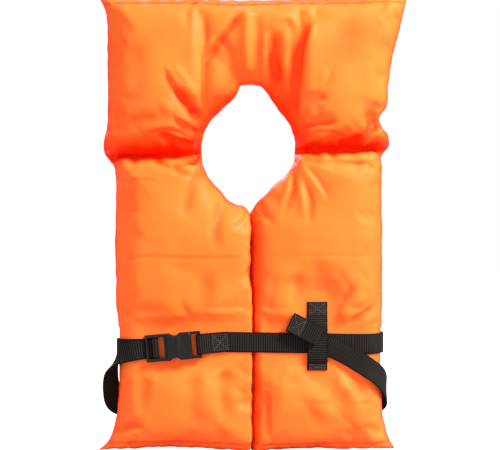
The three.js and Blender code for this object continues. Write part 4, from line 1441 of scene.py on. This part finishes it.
@dataclass
class Belt:
    """Every length of webbing, laid along the same routes as the frame's."""

    buckle: BuckleFrame = field(default_factory=BuckleFrame)
    front: float = -28.0
    lining: float = 28.0
    panel_half: float = 167.0
    roll: float = 28.0
    first: float = 1.1
    pitch: float = 1.9
    right_z: float = -326.0
    back_z: float = -414.0
    run_end: float = 128.0
    doubled_end: float = 77.0
    doubled_lower_end: float = 68.0
    socket_bar: float = 40.3
    socket_bar_out: float = 5.4
    socket_turn: float = 3.15
    middle_bar: tuple[float, float] = (-16.5, -14.1)
    middle_bar_out: float = 4.6
    middle_turn: float = 2.65
    outer_bar: float = -25.5
    keeper_x: float = 84.0
    keeper_top: float = -273.0
    keeper_bottom: float = -359.0
    tail_end: tuple[float, float] = (67.5, -306.8)
    tail_end_out: float = 9.9
    tail_end_length: float = 40.5
    tail_twist: float = 42.0
    tail_end_tilt: float = 26.6
    step: float = 0.39
    ease: int = 20

    @property
    def upper(self) -> float:
        """How far out the second layer of webbing lies."""
        return self.first + self.pitch

    def from_panels(self, places: np.ndarray) -> np.ndarray:
        """The direction straight out of the panels' skin.

        Args:
            places: places on or off the skin, one row each.

        Returns:
            The direction at each place.
        """
        reach = self.panel_half - self.roll
        core = np.stack([np.clip(places[:, 0], -reach, reach), np.zeros(len(places)), places[:, 2]], axis=1)
        return unit(places - core)

    def over_panels(self, way: int) -> Callable[[np.ndarray, np.ndarray], np.ndarray]:
        """The webbing's width where it lies on the panels; way is 1 if it runs anticlockwise from above."""
        return lambda places, tangents: np.cross(self.from_panels(places), tangents) * way

    def hanging(self, places: np.ndarray, tangents: np.ndarray) -> np.ndarray:
        """The loose tail's width: turned outwards where it hangs beside the left-hand panel.

        Args:
            places: the route, one row each.
            tangents: the way that it runs at each place.

        Returns:
            The width's direction at each place.
        """
        width = unit(self.over_panels(-1)(places, tangents))
        beside = smoothstep(-places[:, 0], 158, 176) * (1 - smoothstep(places[:, 1], 18, 34))
        angle = np.radians(self.tail_twist) * beside[:, None]
        return width * np.cos(angle) + np.cross(tangents, width) * np.sin(angle)

    def lay(self, parts: Sequence[tuple[list, Callable]]) -> tuple[np.ndarray, np.ndarray]:
        """Join stretches of route, each with its own rule for the webbing's width.

        Args:
            parts: each stretch's places, and the rule that gives its width's direction.

        Returns:
            The whole route at even steps, and the width's direction along it, eased at the joins.
        """
        places, widths = [], []
        for points, rule in parts:
            path = even_steps(smooth_route(points, 60), self.step)
            width = unit(rule(path, unit(np.gradient(path, axis=0))))
            first = 1 if places else 0
            places.append(path[first:])
            widths.append(width[first:])
        route, across = np.vstack(places), np.vstack(widths)
        reach = self.ease
        if len(route) > 4 * reach:
            padded = np.pad(across, ((reach, reach), (0, 0)), mode="edge")
            even = np.ones(2 * reach + 1) / (2 * reach + 1)
            across = np.stack([np.convolve(padded[:, k], even, "valid") for k in range(3)], axis=1)
        return route, across

    def beside(self, way: int, degrees: float, offset: float, z: float) -> list[float]:
        """A place off the skin round one side; the angle is in degrees from straight in front.

        Args:
            way: 1 on the right, -1 on the left.
            degrees: how far round the side.
            offset: how far off the skin.
            z: its height.

        Returns:
            The place.
        """
        angle = math.radians(degrees)
        x = way * (self.panel_half - self.roll + (self.roll + offset) * math.sin(angle))
        return [x, -(self.lining + offset) * math.cos(angle), z]

    def socket_end(self) -> Strap:
        """The webbing doubled round the socket's bar.

        Returns:
            The strap.
        """
        b, first, upper = self.buckle, self.first, self.upper
        route = [
            b.at(self.doubled_lower_end, first),
            b.at(58, first),
            b.at(48, first + 0.3),
            *b.around(self.socket_bar, self.socket_bar_out, self.socket_turn, 270, 90, 6),
            b.at(46, self.socket_bar_out + 1.8),
            b.at(54, upper + 0.2),
            b.at(62, upper),
            b.at(self.doubled_end, upper),
        ]
        places, across = self.lay([(route, b.across)])
        return Strap("belt_doubled_end", places, across, "buckle_socket", ("belt_socket_end",))

    def front_run(self) -> Strap:
        """The belt across the front, to where it starts round the right-hand side.

        Returns:
            The strap.
        """
        start = self.buckle.at(self.doubled_lower_end + 2.2, self.first)
        sag = start[2] * 0.3 + self.right_z * 0.7
        route = [start, [self.keeper_x, start[1], sag], [self.run_end + 0.2, start[1], self.right_z]]
        return Strap("belt_front", *self.lay([(route, self.over_panels(1))]), "", ("belt_front_run",))

    def wrap_and_tail(self) -> Strap:
        """The rest: round the back, through the plug's bars, and on as the loose tail to the keeper.

        Returns:
            The strap.
        """
        b, upper = self.buckle, self.upper
        left = b.at(self.outer_bar - 4, self.first)
        left_z = left[2] - 4
        snug = self.first + 0.6
        turns = np.linspace(0, 180, 8)
        wrap = [
            [self.run_end, self.front - self.first, self.right_z],
            *[self.beside(1, angle, snug, self.right_z) for angle in turns],
            [0, self.lining + snug, (self.right_z + left_z) / 2],
            *[self.beside(-1, angle, snug, left[2] - 4 * angle / 180) for angle in turns[::-1]],
            left,
        ]
        bar_left, bar_right = self.middle_bar
        turn = [
            left,
            b.at(bar_right - 6, self.first),
            *b.around(bar_right, self.middle_bar_out, self.middle_turn, -90, 90, 4),
            *b.around(bar_left, self.middle_bar_out, self.middle_turn, 90, 180, 2),
            b.at(bar_left - 4.6, upper + 0.3),
            b.at(bar_left - 7, upper),
            b.at(self.outer_bar - 4, upper),
        ]
        left_side = ((11, 4.2, -2), (48, 4.6, -8), (81, 8.5, -27), (98, 11, -51), (123, 11, -76))
        right_side = ((173, 4.3, 0), (130, 7.5, 8), (90, 6, 24), (45, 5.9, 46), (11, 4.6, 60))
        tail = [
            turn[-1],
            *[self.beside(-1, a, off, left[2] + z) for a, off, z in left_side],
            self.beside(-1, 162, 4.6, self.back_z),
            [0, self.lining + snug, self.back_z - 3],
            *[self.beside(1, a, off, self.back_z + z) for a, off, z in right_side],
            [self.keeper_x + 34, self.front - upper, self.right_z - 12],
            [self.keeper_x + 10, self.front - upper, self.right_z - 1],
            [self.keeper_x - 12, self.front - upper, self.right_z + 7],
        ]
        parts = [(wrap, self.over_panels(1)), (turn, b.across), (tail, self.hanging)]
        return Strap("belt_wrap_and_tail_web", *self.lay(parts), "front_panels", ("belt_wrap_and_tail",))

    def keeper(self) -> Strap:
        """The short strap sewn to the right-hand panel above and below the belt.

        Returns:
            The strap.
        """
        crown = self.first + 2 * self.pitch + 0.3
        route = [
            [self.keeper_x, self.front - out, z]
            for out, z in (
                (self.first, self.keeper_top),
                (self.first + 0.1, self.keeper_top - 17),
                (self.first + 1.5, self.keeper_top - 23),
                (crown, self.keeper_top - 31),
                (crown, self.keeper_bottom + 15),
                (self.first + 1.8, self.keeper_bottom + 10.5),
                (self.first + 0.1, self.keeper_bottom + 8),
                (self.first, self.keeper_bottom),
            )
        ]
        rule = steady([1.0, 0, 0])
        return Strap("belt_keeper_web", *self.lay([(route, rule)]), "front_panels", ("belt_keeper",))

    def on_tail_end(self, along: float, out: float, up: float = 0.0) -> list[float]:
        """A place in the folded tail end's own frame.

        Args:
            along: how far along it.
            out: how far out from its middle.
            up: how far across it.

        Returns:
            The place, in the jacket's frame.
        """
        c, s = math.cos(math.radians(self.tail_end_tilt)), math.sin(math.radians(self.tail_end_tilt))
        x, z = self.tail_end
        return [x + along * c + up * s, self.front - self.tail_end_out - out, z - along * s + up * c]

    def folded_end(self) -> Strap:
        """The tail's hemmed end, folded back over the keeper.

        Returns:
            The strap.
        """
        half, leaf = self.tail_end_length / 2, self.pitch / 2 + 0.2
        route = [
            self.on_tail_end(along, out)
            for along, out in (
                (-half, -leaf), (half - 3, -leaf), (half - 0.6, -leaf * 0.7), (half, 0),
                (half - 0.6, leaf * 0.7), (half - 3, leaf), (-half, leaf),
            )
        ]
        up = np.array(self.on_tail_end(0, 0, 1)) - np.array(self.on_tail_end(0, 0, 0))
        rule = steady(up)
        return Strap("belt_folded_end", *self.lay([(route, rule)]), "front_panels", ("belt_tail_end",))

    def build(self) -> None:
        """Make every length of webbing and hang each but the front run on its body."""
        material = BELT.material()
        for strap in (self.socket_end(), self.wrap_and_tail(), self.keeper(), self.folded_end()):
            strap.build(material)
        run = self.front_run()
        piece = run.build(material)
        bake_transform(piece)


# ---------------------------------------------------------------- stitching


@dataclass
class Stitching:
    """All the thread that shows: box stitches on the webbing and rows along the cover's seams."""

    belt: Belt
    cover: bpy.types.Object
    pitch: float = 2.3
    row: float = 2.3
    thread: float = 0.85
    seam_pitch: float = 3.4
    seam_thread: float = 0.7
    above_middle: float = 1.12

    def box(self, place: Callable, wide: float, tall: float) -> list[np.ndarray]:
        """The lines of a box stitch: a frame, a cross and rows between.

        Args:
            place: turns a place in the box into one in the jacket's frame.
            wide: the box's width.
            tall: its height.

        Returns:
            The lines.
        """
        w, t = wide / 2, tall / 2
        lines = [[(-w, -t), (w, -t), (w, t), (-w, t), (-w, -t)], [(-w, -t), (w, t)], [(-w, t), (w, -t)]]
        rows = max(2, round(tall / self.row))
        lines += [[(-w, t * (2 * k / rows - 1)), (w, t * (2 * k / rows - 1))] for k in range(1, rows)]
        return [even_steps(np.array([place(a, b) for a, b in line]), 1.2) for line in lines]

    def lines_piece(self, name: str, lines: Sequence[np.ndarray]) -> bpy.types.Object:
        """An object made only of the lines that the stitches follow.

        Args:
            name: the object's name.
            lines: the lines, in millimetres.

        Returns:
            The object.
        """
        places, edges = [], []
        for line in lines:
            first = len(places)
            places.extend(line * MM)
            edges.extend((first + k, first + k + 1) for k in range(len(line) - 1))
        return mesh_piece(name, np.array(places), [], edges)

    def sew(
        self, name: str, lines: Sequence[np.ndarray], finish: bpy.types.Material, body: str,
        pitch: float, thread: float, nodes: tuple[str, ...],
    ) -> None:
        """Lay stitches along lines and hang them on a body.

        Args:
            name: the finished piece's name.
            lines: the lines, in millimetres.
            finish: the thread's material.
            body: the body that they move with.
            pitch: from one stitch to the next.
            thread: how thick the thread is.
            nodes: the frame pieces that they stand for.
        """
        piece = self.lines_piece(name, lines)
        give_modifier(piece, TREES["stitches"], {
            "Stitch Pitch": pitch * MM,
            "Stitch Length": pitch * 0.8 * MM,
            "Thread Thickness": thread * MM,
            "Material": finish,
        })
        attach(piece, body)
        if nodes:
            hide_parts(*nodes)
        LOG.info("%s: %d faces", name, len(piece.data.polygons))

    def on_cover(self, points: Sequence[Plan], lift: float) -> np.ndarray:
        """A line in the plan, laid on the front skin.

        Args:
            points: the line's places in the plan.
            lift: how far off the skin it lies.

        Returns:
            The line's places, one row each.
        """
        graph = bpy.context.evaluated_depsgraph_get()
        tree = BVHTree.FromObject(self.cover, graph)
        path = even_steps(smooth_route(points, 12), 2.0)
        rows = []
        for x, z in path:
            hit = tree.ray_cast(Vector((x * MM, -0.2, z * MM)), Vector((0, 1, 0)))[0]
            if hit is not None:
                rows.append([x, hit.y / MM - lift, z])
        return np.array(rows)

    def build(self) -> None:
        """Sew everything."""
        black, orange = BLACK_THREAD.material(), ORANGE_THREAD.material()
        b = self.belt
        skin = b.front - b.first - self.above_middle
        keeper = [
            *self.box(lambda a, c: (b.keeper_x + a, skin, b.keeper_top - 9 + c), 19, 14),
            *self.box(lambda a, c: (b.keeper_x + a, skin, b.keeper_bottom + 4.4 + c), 19, 6),
        ]
        leaf = b.pitch / 2 + 0.2 + self.above_middle
        tail = self.box(lambda a, c: b.on_tail_end(a - b.tail_end_length / 4, leaf, c), 15, 19)
        self.sew(
            "stitching_keeper_and_tail", keeper + tail, black, "front_panels", self.pitch, self.thread,
            ("keeper_stitching_upper", "keeper_stitching_lower", "tail_end_stitching"),
        )
        out = b.upper + self.above_middle
        doubled = self.box(lambda a, c: b.buckle.at(b.doubled_end - 11 + a, out, c), 18, 19)
        self.sew(
            "stitching_doubled_end", doubled, black, "buckle_socket", self.pitch, self.thread,
            ("socket_end_stitching",),
        )
        lines = PaddedCover().seam_lines()
        rows = [self.on_cover(line, 0.1) for line in lines]
        for name, sewn, body in (
            ("stitching_collar_seam", rows[:1], "collar"),
            ("stitching_hem", rows[1:], "front_panels"),
        ):
            self.sew(name, sewn, orange, body, self.seam_pitch, self.seam_thread, ())


# ---------------------------------------------------------------- buckle


@dataclass
class Buckle:
    """The side-release buckle, with the edges that its mould leaves rounded."""

    edge: float = 0.55
    latch_edge: float = 0.35

    def dress(self, node: str, body: str, name: str, width: float) -> bpy.types.Object:
        """Copy one frame piece, round its edges and dress it.

        Args:
            node: the frame piece.
            body: the body that it moves with.
            name: the finished piece's name.
            width: how broadly its edges are rounded, in millimetres.

        Returns:
            The finished piece.
        """
        mesh = frame["nodes"][node].data.copy()
        with reshaping(mesh) as shell:
            bmesh.ops.remove_doubles(shell, verts=shell.verts[:], dist=2e-6)
            bmesh.ops.dissolve_limit(shell, angle_limit=0.03, verts=shell.verts[:], edges=shell.edges[:])
        piece = new_object(name, mesh)
        round_edges(piece, width, 3, 32, True)
        shade_smooth(piece)
        coat(piece, self.plastic)
        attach(piece, body)
        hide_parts(node)
        LOG.info("%s: %d faces", name, len(piece.data.polygons))
        return piece

    def build(self) -> None:
        """Dress all four mouldings."""
        self.plastic = PLASTIC.material()
        self.dress("buckle_socket", "buckle_socket", "buckle_socket_case", self.edge)
        self.dress("buckle_plug", "front_panels", "buckle_plug_frame", self.edge)
        for side in ("upper", "lower"):
            self.dress(f"latch_arm_{side}", f"latch_arm_{side}", f"buckle_latch_{side}", self.latch_edge)


# ---------------------------------------------------------------- studio


@dataclass
class Studio:
    """A pale floor, a bright plain surround, soft lights and the camera."""

    view_height: float = -0.1775
    view_width: float = 0.625
    lens: float = 85.0
    sensor: float = 36.0
    front: float = -0.028
    drop: float = 0.006
    floor_half: float = 6.0
    floor_grey: float = 0.42
    floor_glow: float = 0.75
    sky: float = 0.8

    def floor(self) -> None:
        """The pale floor, just under the hem."""
        low = CAD_BOUNDS[0][2] - self.drop
        size = self.floor_half
        corners = np.array([(-size, -size, low), (size, -size, low), (size, size, low), (-size, size, low)])
        piece = mesh_piece("floor", corners, [[0, 1, 2, 3]])
        material = bpy.data.materials.new("pale_floor")
        material.use_nodes = True
        shader = material.node_tree.nodes["Principled BSDF"]
        w = Wiring(material.node_tree)
        shader.inputs["Base Color"].default_value = (*[self.floor_grey] * 3, 1)
        shader.inputs["Roughness"].default_value = 0.9
        shader.inputs["Emission Color"].default_value = (1, 1, 1, 1)
        seen = w.add("ShaderNodeLightPath").outputs["Is Camera Ray"]
        w.tree.links.new(w.maths("MULTIPLY", seen, self.floor_glow), shader.inputs["Emission Strength"])
        piece.data.materials.append(material)

    def surround(self) -> None:
        """White where it is seen, and a softer pale sky where it lights the jacket."""
        world = bpy.data.worlds.new("surround")
        bpy.context.scene.world = world
        world.use_nodes = True
        w = Wiring(world.node_tree)
        world.node_tree.nodes.clear()
        seen = w.add("ShaderNodeBackground", {"Color": (1, 1, 1, 1), "Strength": 1.0})
        sky = w.add("ShaderNodeBackground", {"Color": (1, 0.985, 0.97, 1), "Strength": self.sky})
        path = w.add("ShaderNodeLightPath").outputs["Is Camera Ray"]
        mix = w.add("ShaderNodeMixShader", {0: path, 1: sky.outputs[0], 2: seen.outputs[0]})
        w.add("ShaderNodeOutputWorld", {0: mix.outputs[0]})

    def light(self, name: str, place: Sequence[float], size: float, power: float) -> None:
        """One soft square light, aimed at the middle of the jacket.

        Args:
            name: its name.
            place: where it is, in metres.
            size: its side, in metres.
            power: its power, in watts.
        """
        lamp = bpy.data.lights.new(name, "AREA")
        lamp.size = size
        lamp.energy = power
        holder = bpy.data.objects.new(name, lamp)
        bpy.context.scene.collection.objects.link(holder)
        holder.location = place
        aim = Vector((0, 0, self.view_height)) - Vector(place)
        holder.rotation_euler = aim.to_track_quat("-Z", "Y").to_euler()

    def camera(self) -> None:
        """The camera, level and square to the jacket's front."""
        lens = bpy.data.cameras.new("camera")
        lens.lens = self.lens
        lens.sensor_width = self.sensor
        holder = bpy.data.objects.new("camera", lens)
        bpy.context.scene.collection.objects.link(holder)
        distance = self.view_width * self.lens / self.sensor
        holder.location = (0, self.front - distance, self.view_height)
        holder.rotation_euler = (math.pi / 2, 0, 0)
        bpy.context.scene.camera = holder

    def build(self) -> None:
        """Set the studio up."""
        self.camera()
        self.floor()
        self.surround()
        self.light("key", (1.5, -1.15, 1.4), 0.6, 150)
        self.light("fill", (-1.3, -1.5, 0.1), 1.4, 6)
        self.light("back", (-0.6, 1.6, 1.0), 1.2, 30)
        bpy.context.scene.view_settings.view_transform = "Standard"
        LOG.info("studio ready")


def main() -> None:
    """Build the studio, then the jacket piece by piece."""
    logging.basicConfig(level=logging.INFO, format="%(message)s")
    Studio().build()
    cover = PaddedCover().build()
    FoamBoards().build()
    belt = Belt()
    belt.build()
    Stitching(belt, cover).build()
    Buckle().build()


if __name__ == "__main__":
    main()
